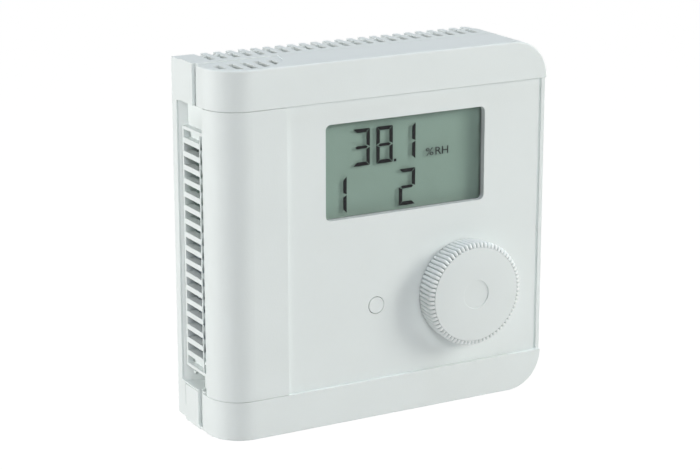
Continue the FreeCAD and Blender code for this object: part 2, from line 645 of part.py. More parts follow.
def make_base_housing():
    body = new_body("base_housing")
    outline = new_sketch(body, "XZ_Plane", "base_outline", "plate_depth")
    rectangle(outline, ("-width / 2", "width / 2"), ("-height / 2", "height / 2"))
    pad(body, outline, "base_front - plate_depth")
    half = value("width / 2")
    hollow = new_sketch(body, "XZ_Plane", "base_hollow", FLOOR)
    rectangle(hollow, (HOLLOW_LEFT, "width / 2 - wall"), ("-height / 2 + wall", "height / 2 - wall"))
    pocket(body, hollow, f"base_front - ({FLOOR})")
    inside = value("width / 2 - wall")
    round_edges(body, "base_inner_corners", "corner_radius - wall",
                lambda e: along(e, "y") and lies(e, x=inside))
    round_edges(body, "base_corners", "corner_radius", lambda e: along(e, "y") and lies(e, x=half))
    window = new_sketch(body, "XZ_Plane", "side_window", "plate_depth")
    rectangle(window, (f"-width / 2 - {BEYOND}", INNER_WALL_FACE), (WINDOW_FOOT, WINDOW_TOP))
    pocket(body, window, "base_front - plate_depth")
    side_wall = new_sketch(body, "XZ_Plane", "inner_side_wall", "base_front")
    rectangle(side_wall, (INNER_WALL_FACE, HOLLOW_LEFT), (WINDOW_FOOT, WINDOW_TOP))
    pad(body, side_wall, f"{INNER_WALL_FRONT} - base_front")
    opening = new_sketch(body, "YZ_Plane", "louvre_opening", f"{INNER_WALL_FACE} - {BEYOND}")
    rectangle(opening, (f"-({LOUVRE_FRONT}) + louvre_lip", f"-({LOUVRE_BACK}) - louvre_lip"),
              (CORE_FOOT, CORE_TOP))
    pocket(body, opening, f"inner_wall + {BEYOND}")
    # Below the louvre the window's sloped back runs on inwards, into a recess with walls of its own.
    block = new_sketch(body, "XY_Plane", "recess_block", f"{WINDOW_FOOT} - wall")
    rectangle(block, (HOLLOW_LEFT, f"{RECESS_IN} + inner_wall"), ("-base_front", f"-({FLOOR})"))
    pad(body, block, "recess_high + 2 * wall")
    recess = new_sketch(body, "XY_Plane", "recess", WINDOW_FOOT)
    polygon(recess, [(f"{INNER_WALL_FACE} - {BEYOND}", "-plate_depth"),
                     (INNER_WALL_FACE, "-plate_depth"),
                     (RECESS_IN, f"-({RECESS_TURN})"),
                     (RECESS_IN, RECESS_END),
                     (f"{INNER_WALL_FACE} - {BEYOND}", RECESS_END)])
    pocket(body, recess, "recess_high")
    head_rooms = screw_corners(body, FLOOR, "base_screw_head / 2 + head_room", "base_head_rooms")
    pocket(body, head_rooms, f"base_front - ({FLOOR})")
    shadow = new_sketch(body, "XY_Plane", "base_shadow_line", "-height / 2 + shadow_foot")
    rectangle(shadow, (f"-width / 2 - {BEYOND}", "-width / 2 + shadow_sink"),
              ("-base_front", "-shadow_back"))
    pocket(body, shadow, "height - shadow_foot")
    slit = new_sketch(body, "XY_Plane", "upright_slit", "-height / 2 + slit_foot")
    rectangle(slit, (f"-width / 2 - {BEYOND}", "-width / 2 + slit_sink"),
              ("-plate_depth - slit_width", "-plate_depth"))
    pocket(body, slit, f"{WINDOW_FOOT} - slit_drop + height / 2 - slit_foot")
    sill_slit = new_sketch(body, "XZ_Plane", "sill_slit", "plate_depth")
    rectangle(sill_slit, (f"-width / 2 - {BEYOND}", "-width / 2 + slit_sink"),
              (f"{WINDOW_FOOT} - slit_drop - slit_width", f"{WINDOW_FOOT} - slit_drop"))
    pocket(body, sill_slit, "shadow_back - plate_depth")
    frame_slit = new_sketch(body, "XZ_Plane", "window_slit_top", "plate_depth")
    rectangle(frame_slit, (f"-width / 2 - {BEYOND}", "-width / 2 + frame_slit_sink"),
              (WINDOW_TOP, f"{WINDOW_TOP} + frame_slit_width"))
    pocket(body, frame_slit, "shadow_back - plate_depth")
    for side, offset, forward in (("top", "height / 2 - wall", True),
                                  ("bottom", "-height / 2 + wall", False)):
        slots = new_sketch(body, "XY_Plane", f"base_slots_{side}", offset)
        rectangle(slots, (f"{VENT_FIRST} - vent_width / 2", f"{VENT_FIRST} + vent_width / 2"),
                  ("-vent_front", "-vent_back"))
        slot = pocket(body, slots, "wall", forward)
        row(body, slot, slots, "H_Axis", VENT_PITCH, "vent_count")
    cable_window(body, "base_cable_window", "plate_depth", "base_floor")
    holes = screw_corners(body, "plate_depth", "base_screw_shank / 2 + screw_fit", "base_screw_holes")
    pocket(body, holes, "base_floor")
    posts = new_sketch(body, "XZ_Plane", "power_posts", FLOOR)
    post_holes = new_sketch(body, "XZ_Plane", "power_post_holes", "plate_depth + base_floor / 2")
    for side in ("", "-"):
        for rise in ("", "-"):
            across, up = f"{side}({POWER_HOLE_X})", f"{rise}({POWER_HOLE_Z})"
            circle(posts, "post_size / 2", across, up)
            circle(post_holes, "screw_shank / 2 + screw_fit", across, up)
    pad(body, posts, f"power_back - ({FLOOR})")
    pocket(body, post_holes, "power_back")
    shelf = new_sketch(body, "XZ_Plane", "sensor_shelf_foot", FLOOR)
    rectangle(shelf, (f"{SENSOR_LEFT} - sensor_shelf_lip",
                      f"{SENSOR_LEFT} + sensor_board_thick + sensor_shelf_lip"),
              ("sensor_board_foot - sensor_shelf", "sensor_board_foot"))
    pad(body, shelf, f"power_back - ({FLOOR})")
    notch = new_sketch(body, "XZ_Plane", "recess_notch", "plate_depth")
    circle(notch, "notch_radius", "-width / 2 + lug_left + lug_width / 2", f"{WINDOW_FOOT} + lug_rise")
    pocket(body, notch, "lug_front - plate_depth")
    lug = new_sketch(body, "XZ_Plane", "recess_lug", "plate_depth")
    rectangle(lug, ("-width / 2 + lug_left", "-width / 2 + lug_left + lug_width"),
              (f"{WINDOW_FOOT} + lug_rise", f"{WINDOW_FOOT} + lug_rise + lug_thick"))
    pad(body, lug, "lug_front - plate_depth")
    tab = new_sketch(body, "YZ_Plane", "recess_tab", "-width / 2 + tab_left")
    rectangle(tab, (RECESS_END, "-tab_back"), (WINDOW_FOOT, f"{WINDOW_FOOT} + tab_rise"))
    pad(body, tab, "tab_thick")
    return body


def make_side_louvre():
    """A ladder of slats whose rim lies on the side wall and whose back stands in the wall's opening."""
    body = new_body("side_louvre")
    rim = new_sketch(body, "YZ_Plane", "louvre_rim", LOUVRE_FACE)
    rectangle(rim, (f"-({LOUVRE_FRONT})", f"-({LOUVRE_BACK})"), (LOUVRE_FOOT, LOUVRE_TOP))
    pad(body, rim, "window_inset - louvre_inset")
    core = new_sketch(body, "YZ_Plane", "louvre_core", INNER_WALL_FACE)
    rectangle(core, (f"-({LOUVRE_FRONT}) + louvre_lip + louvre_fit",
                     f"-({LOUVRE_BACK}) - louvre_lip - louvre_fit"),
              (f"{CORE_FOOT} + louvre_fit", f"{CORE_TOP} - louvre_fit"))
    pad(body, core, "louvre_deep - window_inset + louvre_inset")
    narrow_front = f"-({LOUVRE_FRONT}) + louvre_lip"
    narrow_back = f"{narrow_front} + narrow_gap"
    slat = f"{FIRST_GAP} + (slat_gap + ({SLAT_PITCH})) / 2"
    for name, span, foot, high, count in (
            ("wide", (f"{narrow_back} + louvre_rail", f"-({LOUVRE_BACK}) - louvre_lip"),
             FIRST_GAP, "slat_gap", "slat_count"),
            ("narrow", (narrow_front, narrow_back),
             f"{slat} - narrow_high / 2", "narrow_high", "slat_count - 1")):
        opening = new_sketch(body, "YZ_Plane", f"louvre_{name}_gap", LOUVRE_FACE)
        rectangle(opening, span, (foot, f"{foot} + {high}"))
        gap = pocket(body, opening, "louvre_deep")
        row(body, gap, opening, "V_Axis", SLAT_PITCH, count)
    thinned = new_sketch(body, "YZ_Plane", "louvre_thin_ends", f"{LOUVRE_FACE} + slat_skin")
    foot = f"{slat} - narrow_high / 2"
    rectangle(thinned, (narrow_back, f"{narrow_back} + louvre_rail + slat_thinned"),
              (foot, f"{foot} + narrow_high"))
    cut_end = pocket(body, thinned, "louvre_deep - slat_skin")
    row(body, cut_end, thinned, "V_Axis", SLAT_PITCH, "slat_count - 1")
    channel = new_sketch(body, "YZ_Plane", "louvre_channel", LOUVRE_FACE)
    rectangle(channel, (narrow_front, narrow_back), (FIRST_GAP, f"{LOUVRE_TOP} - louvre_edge"))
    pocket(body, channel, "narrow_sink")
    return body


# Front

def make_front_cover():
    body = new_body("front_cover")
    outline = new_sketch(body, "XZ_Plane", "cover_outline", COVER_BACK)
    rectangle(outline, ("-width / 2", "width / 2"), ("-height / 2", "height / 2"))
    pad(body, outline, f"depth - ({COVER_BACK})")
    half = value("width / 2")
    front = -value("depth")
    hollow = new_sketch(body, "XZ_Plane", "cover_hollow", COVER_BACK)
    rectangle(hollow, ("-width / 2 + wall", "width / 2 - wall"), ("-height / 2 + wall", "height / 2 - wall"))
    pocket(body, hollow, f"{PANEL_BACK} - ledge_thick - ({COVER_BACK})")
    inside = value("width / 2 - wall")
    roof = -value(f"{PANEL_BACK} - ledge_thick")
    round_edges(body, "cover_inner_corners", "corner_radius - wall",
                lambda e: along(e, "y") and lies(e, x=inside))
    round_edges(body, "cover_inner_pillar_corner", f"{PILLAR_RADIUS} - wall",
                lambda e: along(e, "z") and lies(e, x=-inside, y=roof))
    round_edges(body, "cover_corners", "corner_radius", lambda e: along(e, "y") and lies(e, x=half))
    round_edges(body, "cover_pillar_corner", PILLAR_RADIUS,
                lambda e: along(e, "z") and lies(e, x=-half, y=front))
    opening = new_sketch(body, "XZ_Plane", "fascia_opening", PANEL_BACK)
    rectangle(opening, (f"-width / 2 - {BEYOND}", f"{PANEL_RIGHT} + panel_fit"),
              (f"-({BAND_EDGE})", BAND_EDGE))
    pocket(body, opening, f"fascia_wall + panel_recess + {BEYOND}")
    groove = new_sketch(body, "XZ_Plane", "panel_groove", f"{PANEL} - groove_deep")
    rectangle(groove, (PANEL_RIGHT, "width / 2 - strip_width"), (f"-({BAND_EDGE})", BAND_EDGE))
    pocket(body, groove, f"groove_deep + panel_recess + {BEYOND}")
    strip = new_sketch(body, "XZ_Plane", "strip_top", PANEL)
    rectangle(strip, ("width / 2 - strip_width", f"width / 2 + {BEYOND}"), (f"-({BAND_EDGE})", BAND_EDGE))
    pocket(body, strip, f"panel_recess + {BEYOND}")
    through = new_sketch(body, "XZ_Plane", "ledge_opening", f"{PANEL_BACK} - ledge_thick")
    rectangle(through, (f"-width / 2 - {BEYOND}", f"{PANEL_RIGHT} - ledge"),
              (f"-({BAND_EDGE}) + ledge", f"{BAND_EDGE} - ledge"))
    pocket(body, through, "ledge_thick")
    side = new_sketch(body, "XZ_Plane", "cover_side_opening", COVER_BACK)
    rectangle(side, (f"-width / 2 - {BEYOND}", PILLAR_EDGE), (f"-({BAND_EDGE})", BAND_EDGE))
    pocket(body, side, f"{PANEL_BACK} - ({COVER_BACK})")
    shadow = new_sketch(body, "XY_Plane", "cover_shadow_line", "-height / 2 + shadow_foot")
    rectangle(shadow, (f"-width / 2 - {BEYOND}", "-width / 2 + shadow_sink"),
              ("-shadow_front", f"-({COVER_BACK})"))
    pocket(body, shadow, "height - shadow_foot")
    band_middle = value("height / 2 - corner_radius / 2")
    round_edges(body, "cover_outer_edges", "edge_radius",
                lambda e: lies(e, y=front) and not along(e, "z") and abs(e.CenterOfMass.z) > band_middle)
    round_edges(body, "cover_band_edges", "seam_radius",
                lambda e: lies(e, y=front) and along(e, "x") and abs(e.CenterOfMass.z) < band_middle)
    patch = new_sketch(body, "XY_Plane", "round_patch", "height / 2 - top_ring_sink")
    circle(patch, "top_ring_radius", "-width / 2 + top_ring_left", "-depth + top_ring_back")
    pocket(body, patch, "top_ring_sink")
    return body


def trim_cover(body):
    """The cover with its five slots, which end on a circle inside the round patch."""
    foot = f"height / 2 - wall - {BEYOND}"
    slots = []
    for i in range(int(value("top_slot_count"))):
        middle = f"-width / 2 + top_slot_left + {i} * top_slot_pitch"
        slots.append(block(f"top_slot_{i}", (f"{middle} - vent_width / 2", f"{middle} + vent_width / 2"),
                           ("depth - top_slot_back", "depth"), (foot, f"height / 2 + {BEYOND}")))
    disc = doc.addObject("Part::Cylinder", "top_slot_ends")
    disc.setExpression("Radius", tied("top_ring_radius - top_slot_margin"))
    disc.setExpression("Height", tied(f"wall + 2 * {BEYOND}"))
    disc.setExpression("Placement.Base.x", tied("-width / 2 + top_ring_left"))
    disc.setExpression("Placement.Base.y", tied("-depth + top_ring_back"))
    disc.setExpression("Placement.Base.z", tied(foot))
    common = doc.addObject("Part::MultiCommon", "top_slots")
    common.Shapes = [fuse("top_slot_blocks", slots), disc]
    return cut("front_cover_slotted", body, [common])


def on_pillar(edge, ends):
    """Whether an edge runs along the outside of the pillar at its top or bottom end."""
    if not any(lies(edge, z=end) for end in ends):
        return False
    if lies(edge, x=value("-width / 2")) or lies(edge, y=-value("depth")):
        return True
    return isinstance(edge.Curve, Part.Circle) and abs(edge.Curve.Radius - value(PILLAR_RADIUS)) < 0.01


def make_front_fascia():
    """The insert: one section from side to side, run up between the bands, its pillar a little shorter."""
    body = new_body("front_fascia")
    section = new_sketch(body, "XY_Plane", "fascia_section", f"-({PANEL_HALF})")
    left = "-width / 2"
    inner_left = "-width / 2 + fascia_wall"
    pillar_inner = "depth - fascia_wall"
    polygon(section, [
        (left, "-pillar_back"),
        (left, "-depth"),
        (PILLAR_EDGE, "-depth"),
        (PILLAR_EDGE, f"-({PANEL})"),
        (PANEL_RIGHT, f"-({PANEL})"),
        (PANEL_RIGHT, f"-({PANEL_BACK})"),
        (f"{PILLAR_EDGE} - fascia_wall", f"-({PANEL_BACK})"),
        (f"{PILLAR_EDGE} - fascia_wall", f"-({pillar_inner})"),
        (inner_left, f"-({pillar_inner})"),
        (inner_left, "-pillar_back"),
    ])
    pad(body, section, f"2 * ({PANEL_HALF})")
    half = value("width / 2")
    front = -value("depth")
    inner_x = value(inner_left)
    inner_y = -value(pillar_inner)
    panel_y = -value(PANEL)
    round_edges(body, "pillar_round", PILLAR_RADIUS, lambda e: along(e, "z") and lies(e, x=-half, y=front))
    round_edges(body, "pillar_inner_round", f"{PILLAR_RADIUS} - fascia_wall",
                lambda e: along(e, "z") and lies(e, x=inner_x, y=inner_y))
    panel_right = value(PANEL_RIGHT)
    round_edges(body, "panel_right_edge", "edge_radius",
                lambda e: along(e, "z") and lies(e, x=panel_right, y=panel_y))
    pillar_edge = value(PILLAR_EDGE)
    round_edges(body, "pillar_hollow", "pillar_fillet",
                lambda e: along(e, "z") and lies(e, x=pillar_edge, y=panel_y))
    for name, offset, forward in (("pillar_top_cut", PILLAR_HALF, True),
                                  ("pillar_foot_cut", f"-({PILLAR_HALF})", False)):
        end = new_sketch(body, "XY_Plane", name, offset)
        rectangle(end, (f"-width / 2 - {BEYOND}", f"{PILLAR_EDGE} + pillar_fillet"),
                  (f"-depth - {BEYOND}", f"-pillar_back + {BEYOND}"))
        pocket(body, end, "seam", forward)
    ends = [sign * value(PILLAR_HALF) for sign in (-1, 1)]
    outer = [edge for edge in body.Tip.Shape.Edges if on_pillar(edge, ends)]
    round_edges(body, "pillar_ends", "seam_radius", lambda e: any(e.isSame(item) for item in outer))
    window = new_sketch(body, "XZ_Plane", "display_window", PANEL_BACK)
    rectangle(window, *DISPLAY_WINDOW)
    pocket(body, window, "fascia_wall")
    sides = [value(side) for side in DISPLAY_WINDOW[0]]
    round_edges(body, "window_corners", "lcd_corner",
                lambda e: along(e, "y") and any(lies(e, x=side) for side in sides))
    holes = new_sketch(body, "XZ_Plane", "control_holes", PANEL_BACK)
    circle(holes, "bush_size / 2 + bush_fit", KNOB_X, "knob_z")
    circle(holes, "button_size / 2 + button_fit", BUTTON_X, BUTTON_Z)
    pocket(body, holes, "fascia_wall")
    posts = new_sketch(body, "XZ_Plane", "control_posts", CONTROL_FRONT)
    post_holes = new_sketch(body, "XZ_Plane", "control_post_holes", CONTROL_FRONT)
    for across, up in CONTROL_POSTS:
        circle(posts, "post_size / 2", across, up)
        circle(post_holes, "screw_shank / 2 + screw_fit", across, up)
    pad(body, posts, f"{PANEL_BACK} - ({CONTROL_FRONT})")
    pocket(body, post_holes, f"{PANEL_BACK} - ({CONTROL_FRONT})")
    return body


def make_lcd_holder():
    body = new_body("lcd_holder")
    half_wide = f"{GLASS_HALF_X} + holder_fit"
    half_high = f"{GLASS_HALF_Z} + holder_fit"
    outer = new_sketch(body, "XZ_Plane", "holder_outline", CONTROL_FRONT)
    rectangle(outer, (f"{LCD_X} - ({half_wide}) - holder_wall", f"{LCD_X} + {half_wide} + holder_wall"),
              (f"{LCD_Z} - ({half_high}) - holder_wall", f"{LCD_Z} + {half_high} + holder_wall"))
    pad(body, outer, f"{PANEL_BACK} - ({CONTROL_FRONT})")
    inner = new_sketch(body, "XZ_Plane", "holder_glass_pocket", CONTROL_FRONT)
    rectangle(inner, (f"{LCD_X} - ({half_wide})", f"{LCD_X} + {half_wide}"),
              (f"{LCD_Z} - ({half_high})", f"{LCD_Z} + {half_high}"))
    pocket(body, inner, f"{GLASS_FRONT} - ({CONTROL_FRONT})")
    lip = new_sketch(body, "XZ_Plane", "holder_window", GLASS_FRONT)
    rectangle(lip, *DISPLAY_WINDOW)
    pocket(body, lip, f"{PANEL_BACK} - ({GLASS_FRONT})")
    return body


def display_layer(name, back, front, half_height):
    return block(name, (f"{LCD_X} - ({GLASS_HALF_X})", f"{LCD_X} + {GLASS_HALF_X}"), (back, front),
                 (f"{LCD_Z} - ({half_height})", f"{LCD_Z} + {half_height}"))


# The segments of one figure: top, upper right, lower right, bottom, lower left, upper left, middle.
FIGURES = {"1": "bc", "2": "abged", "3": "abgcd", "8": "abcdefg"}


def figure_outlines(left, foot, name):
    """The mitred outlines of a figure's segments, as lists of (x, z)."""
    wide, high = value("figure_width"), value("figure_height")
    stroke, gap = value("stroke"), value("stroke_gap / 2")
    middle = high / 2
    half = stroke / 2
    tip = half - gap

    def upright(x_out, x_in, low, low_in, top, top_in):
        return [(x_out, low), (x_out, top), (x_in, top_in), (x_in, low_in)]

    segments = {
        "a": [(gap, high), (wide - gap, high), (wide - gap - stroke, high - stroke),
              (gap + stroke, high - stroke)],
        "d": [(gap, 0), (wide - gap, 0), (wide - gap - stroke, stroke), (gap + stroke, stroke)],
        "g": [(half + gap, middle), (stroke + gap, middle + tip), (wide - stroke - gap, middle + tip),
              (wide - half - gap, middle), (wide - stroke - gap, middle - tip), (stroke + gap, middle - tip)],
        "b": upright(wide, wide - stroke, middle + gap, middle + half + gap, high - gap, high - stroke - gap),
        "c": upright(wide, wide - stroke, gap, stroke + gap, middle - gap, middle - half - gap),
        "e": upright(0, stroke, gap, stroke + gap, middle - gap, middle - half - gap),
        "f": upright(0, stroke, middle + gap, middle + half + gap, high - gap, high - stroke - gap),
    }
    return [[(left + x, foot + z) for x, z in segments[letter]] for letter in FIGURES[name]]


def make_lcd_segments():
    """The figures 38.1 over 1 and 2, as thin solids between the glasses."""
    right, pitch, wide = value(f"{LCD_X} + figure_right"), value("figure_pitch"), value("figure_width")
    upper = value(f"{LCD_Z} + figure_foot")
    lower = upper - value("row_drop")
    places = [("3", 2, upper), ("8", 1, upper), ("1", 0, upper), ("1", 3, lower), ("2", 0, lower)]
    outlines = []
    for name, steps, foot in places:
        outlines += figure_outlines(right - steps * pitch - wide, foot, name)
    dot = value("point_size")
    dot_left = right - pitch + dot / 2
    outlines.append([(dot_left, upper), (dot_left + dot, upper), (dot_left + dot, upper + dot),
                     (dot_left, upper + dot)])
    back = -value(REAR_GLASS_FRONT)
    solids = []
    for outline in outlines:
        points = [FreeCAD.Vector(x, back, z) for x, z in outline]
        face = Part.Face(Part.makePolygon(points + points[:1]))
        solids.append(face.extrude(FreeCAD.Vector(0, -value("segment_thick"), 0)))
    feature = doc.addObject("Part::Feature", "lcd_segments")
    feature.Shape = Part.makeCompound(solids)
    return feature


def make_control_board():
    body = new_body("control_board")
    outline = new_sketch(body, "XZ_Plane", "control_outline", CONTROL_BACK)
    rectangle(outline, ("-width / 2 + control_left", "width / 2 - control_right"),
              (f"-({BAND_EDGE}) + control_bottom", f"{BAND_EDGE} - control_top"))
    for across, up in CONTROL_POSTS:
        circle(outline, "screw_shank / 2 + screw_fit", across, up)
    pad(body, outline, "board_thick")
    return body


def make_contact_strips():
    rise = f"{REAR_GLASS_HALF_Z} + holder_fit"
    spans = [(f"{LCD_Z} + {rise}", f"{LCD_Z} + {rise} + strip_thick"),
             (f"{LCD_Z} - ({rise}) - strip_thick", f"{LCD_Z} - ({rise})")]
    strips = [block(f"contact_strip_{i}", DISPLAY_WINDOW[0], (CONTROL_FRONT, SEGMENT_FRONT), span)
              for i, span in enumerate(spans)]
    return group("contact_strips", strips)


def make_encoder():
    """The encoder's body with its threaded bush, bored for the shaft."""
    half = "encoder_size / 2"
    case_front = f"{PANEL_BACK} - encoder_gap"
    bush_front = f"{PANEL} - bush_sink"
    case = block("encoder_case", (f"{KNOB_X} - {half}", f"{KNOB_X} + {half}"), (CONTROL_FRONT, case_front),
                 (f"knob_z - {half}", f"knob_z + {half}"))
    bush = rod("encoder_bush", "bush_size", KNOB_X, (case_front, bush_front), "knob_z")
    bore = rod("encoder_bore", "shaft_size + 2 * shaft_fit", KNOB_X,
               (f"{CONTROL_FRONT} + shaft_rise - shaft_fit", f"{bush_front} + {BEYOND}"), "knob_z")
    return cut("encoder_body", fuse("encoder_solid", [case, bush]), [bore])


def make_knob():
    """Turned round its own axis at the origin, then placed on the shaft."""
    body = new_body("control_knob")
    disc = new_sketch(body, "XZ_Plane", "knob_disc", f"{PANEL} + knob_gap")
    circle(disc, "knob_radius", "0", "0")
    pad(body, disc, f"{KNOB_FRONT} - ({PANEL}) - knob_gap")
    front = -value(KNOB_FRONT)
    round_edges(body, "knob_rim", "knob_bevel", lambda e: lies(e, y=front))
    dimple = new_sketch(body, "XZ_Plane", "knob_dimple", f"{KNOB_FRONT} - knob_dimple_deep")
    circle(dimple, "knob_dimple / 2", "0", "0")
    pocket(body, dimple, "knob_dimple_deep")
    cavity = new_sketch(body, "XZ_Plane", "knob_cavity", f"{PANEL} + knob_gap")
    circle(cavity, "knob_radius - knob_skirt", "0", "0")
    circle(cavity, "knob_hub / 2", "0", "0")
    pocket(body, cavity, f"{KNOB_FRONT} - knob_roof - ({PANEL}) - knob_gap")
    bore = new_sketch(body, "XZ_Plane", "knob_bore", f"{PANEL} + knob_gap")
    circle(bore, "shaft_size / 2 + screw_fit", "0", "0")
    pocket(body, bore, f"{KNOB_FRONT} - shaft_short - ({PANEL}) - knob_gap")
    groove = new_sketch(body, "XZ_Plane", "knob_groove", f"{PANEL} + knob_gap")
    circle(groove, "ridge_groove", "knob_radius", "0")
    cut_groove = pocket(body, groove, f"{KNOB_FRONT} - ({PANEL})")
    pattern = body.newObject("PartDesign::PolarPattern", "knob_grooves")
    pattern.Originals = [cut_groove]
    pattern.Axis = (groove, ["N_Axis"])
    pattern.Angle = 360
    pattern.setExpression("Occurrences", tied("ridge_count"))
    body.Tip = pattern
    body.setExpression("Placement.Base.x", tied(KNOB_X))
    body.setExpression("Placement.Base.z", tied("knob_z"))
    return body


def make_button():
    """The cap with its flange behind the fascia, and the switch under it."""
    flange_front = f"{PANEL_BACK} - button_stop"
    stem_back = f"{SWITCH_FRONT} + plunger_proud"
    cap = rod("button_cap", "button_size", BUTTON_X, (stem_back, f"{PANEL} + button_proud"), BUTTON_Z)
    flange = rod("button_flange", "button_flange", BUTTON_X,
                 (f"{flange_front} - button_flange_thick", flange_front), BUTTON_Z)
    button = fuse("push_button", [cap, flange])
    plunger = rod("switch_plunger", "plunger_size", BUTTON_X, (f"{SWITCH_FRONT} - plunger_sink", stem_back),
                  BUTTON_Z)
    half = "switch_size / 2"
    case = block("switch_case", (f"{BUTTON_X} - {half}", f"{BUTTON_X} + {half}"),
                 (CONTROL_FRONT, SWITCH_FRONT), (f"{BUTTON_Z} - {half}", f"{BUTTON_Z} + {half}"))
    bore = rod("switch_bore", "plunger_size + 2 * plunger_fit", BUTTON_X,
               (f"{SWITCH_FRONT} - plunger_sink - button_travel - plunger_fit", f"{SWITCH_FRONT} + {BEYOND}"),
               BUTTON_Z)
    return button, plunger, cut("button_switch", case, [bore])


# Power side

def make_power_board():
    body = new_body("power_board")
    outline = new_sketch(body, "XZ_Plane", "power_outline", "power_back")
    left, right = f"-({POWER_HALF})", POWER_HALF
    cut_left, cut_right = f"-({POWER_CUT_HALF})", POWER_CUT_HALF
    polygon(outline, [(left, "-power_rise"), (cut_left, "-power_rise"), (cut_left, "power_cut_top"),
                      (cut_right, "power_cut_top"), (cut_right, "-power_rise"), (right, "-power_rise"),
                      (right, "power_rise"), (left, "power_rise")])
    for side in ("", "-"):
        for rise in ("", "-"):
            circle(outline, "screw_shank / 2 + screw_fit", f"{side}({POWER_HOLE_X})",
                   f"{rise}({POWER_HOLE_Z})")
    pad(body, outline, "board_thick")
    return body


def make_terminals(name, left, ways):
    """A terminal block: wire mouths at its foot and a screw shaft over each."""
    body = new_body(name)
    outline = new_sketch(body, "XZ_Plane", f"{name}_outline", POWER_FRONT)
    rectangle(outline, (left, f"{left} + {ways} * way_pitch"),
              ("terminal_foot", "terminal_foot + terminal_deep"))
    pad(body, outline, f"{TERMINAL_FRONT} - ({POWER_FRONT})")
    mouths = new_sketch(body, "XY_Plane", f"{name}_mouth", "terminal_foot")
    rectangle(mouths, (f"{left} + (way_pitch - mouth) / 2", f"{left} + (way_pitch + mouth) / 2"),
              (f"-({POWER_FRONT}) - mouth_back - mouth", f"-({POWER_FRONT}) - mouth_back"))
    first_mouth = pocket(body, mouths, "mouth_deep")
    row(body, first_mouth, mouths, "H_Axis", "way_pitch", ways)
    shafts = new_sketch(body, "XZ_Plane", f"{name}_shaft", f"{POWER_FRONT} + mouth_back + mouth / 2")
    circle(shafts, "clamp_screw / 2 + screw_fit", f"{left} + way_pitch / 2",
           "terminal_foot + terminal_deep / 2")
    first_shaft = pocket(body, shafts, f"{TERMINAL_FRONT} - ({POWER_FRONT})")
    row(body, first_shaft, shafts, "H_Axis", "way_pitch", ways)
    return body


def make_terminal_metal():
    """The screws in the shafts, and the plate that each one presses on the wire."""
    screws, plates = [], []
    top = f"{POWER_FRONT} + mouth_back + mouth"
    screw_front = f"{TERMINAL_FRONT} - clamp_screw_sink"
    middle = "terminal_foot + terminal_deep / 2"
    for block_name, left, ways in (("supply", "supply_left", "supply_ways"),
                                   ("output", "output_left", "output_ways")):
        for i in range(int(value(ways))):
            centre = f"{left} + ({i} + 1 / 2) * way_pitch"
            name = f"{block_name}_{i}"
            shank = rod(f"{name}_clamp_rod", "clamp_screw", centre, (top, screw_front), middle)
            slot = block(f"{name}_clamp_slot", (f"{centre} - clamp_screw", f"{centre} + clamp_screw"),
                         (f"{screw_front} - slot_deep", f"{screw_front} + {BEYOND}"),
                         (f"{middle} - slot_width / 2", f"{middle} + slot_width / 2"))
            screws.append(cut(f"{name}_clamp_screw", shank, [slot]))
            plates.append(block(f"{name}_clamp_plate",
                                (f"{centre} - mouth / 2 + screw_fit", f"{centre} + mouth / 2 - screw_fit"),
                                (f"{top} - clamp_plate", top),
                                (f"terminal_foot + {BEYOND}", "terminal_foot + mouth_deep - screw_fit")))
    return group("terminal_screws", screws), group("clamp_plates", plates)


def make_relay(name, step):
    left = f"{RELAY_X} - relay_wide / 2"
    front = f"{POWER_FRONT} + relay_high"
    foot = f"relay_low + {step} * relay_pitch"
    top = f"{foot} + relay_long"
    case = block(f"{name}_case", (left, f"{left} + relay_wide"), (POWER_FRONT, front), (foot, top))
    vent = block(f"{name}_vent", (f"{left} + relay_vent_inset", f"{left} + relay_vent_inset + relay_vent"),
                 (f"{front} - relay_vent_deep", f"{front} + {BEYOND}"),
                 (f"{top} - relay_vent_inset - relay_vent", f"{top} - relay_vent_inset"))
    return cut(name, case, [vent])


def make_socket_and_pins():
    """The socket on the power board and the pins of the control board that stand in it."""
    length = "pin_count * pin_pitch"
    socket_front = f"{HEADER_BACK} - socket_clear"
    case = block("socket_case", ("socket_left", f"socket_left + {length} + 2 * pin_fit"),
                 (POWER_FRONT, socket_front), ("socket_foot", "socket_foot + socket_wide"))
    centre = "socket_foot + socket_wide / 2"
    slot = block("socket_slot", ("socket_left + pin_fit", f"socket_left + {length} + pin_fit"),
                 (f"{PIN_BACK} - pin_fit", f"{socket_front} + {BEYOND}"),
                 (f"{centre} - pin_size / 2 - pin_fit", f"{centre} + pin_size / 2 + pin_fit"))
    socket = cut("board_socket", case, [slot])
    strip = block("header_strip", ("socket_left + pin_fit", f"socket_left + {length} + pin_fit"),
                  (HEADER_BACK, CONTROL_BACK),
                  (f"{centre} - header_thick / 2", f"{centre} + header_thick / 2"))
    pins = [strip]
    for i in range(int(value("pin_count"))):
        across = f"socket_left + pin_fit + ({i} + 1 / 2) * pin_pitch"
        pins.append(block(f"header_pin_{i}", (f"{across} - pin_size / 2", f"{across} + pin_size / 2"),
                          (PIN_BACK, CONTROL_BACK),
                          (f"{centre} - pin_size / 2", f"{centre} + pin_size / 2")))
    return socket, fuse("header_pins", pins)


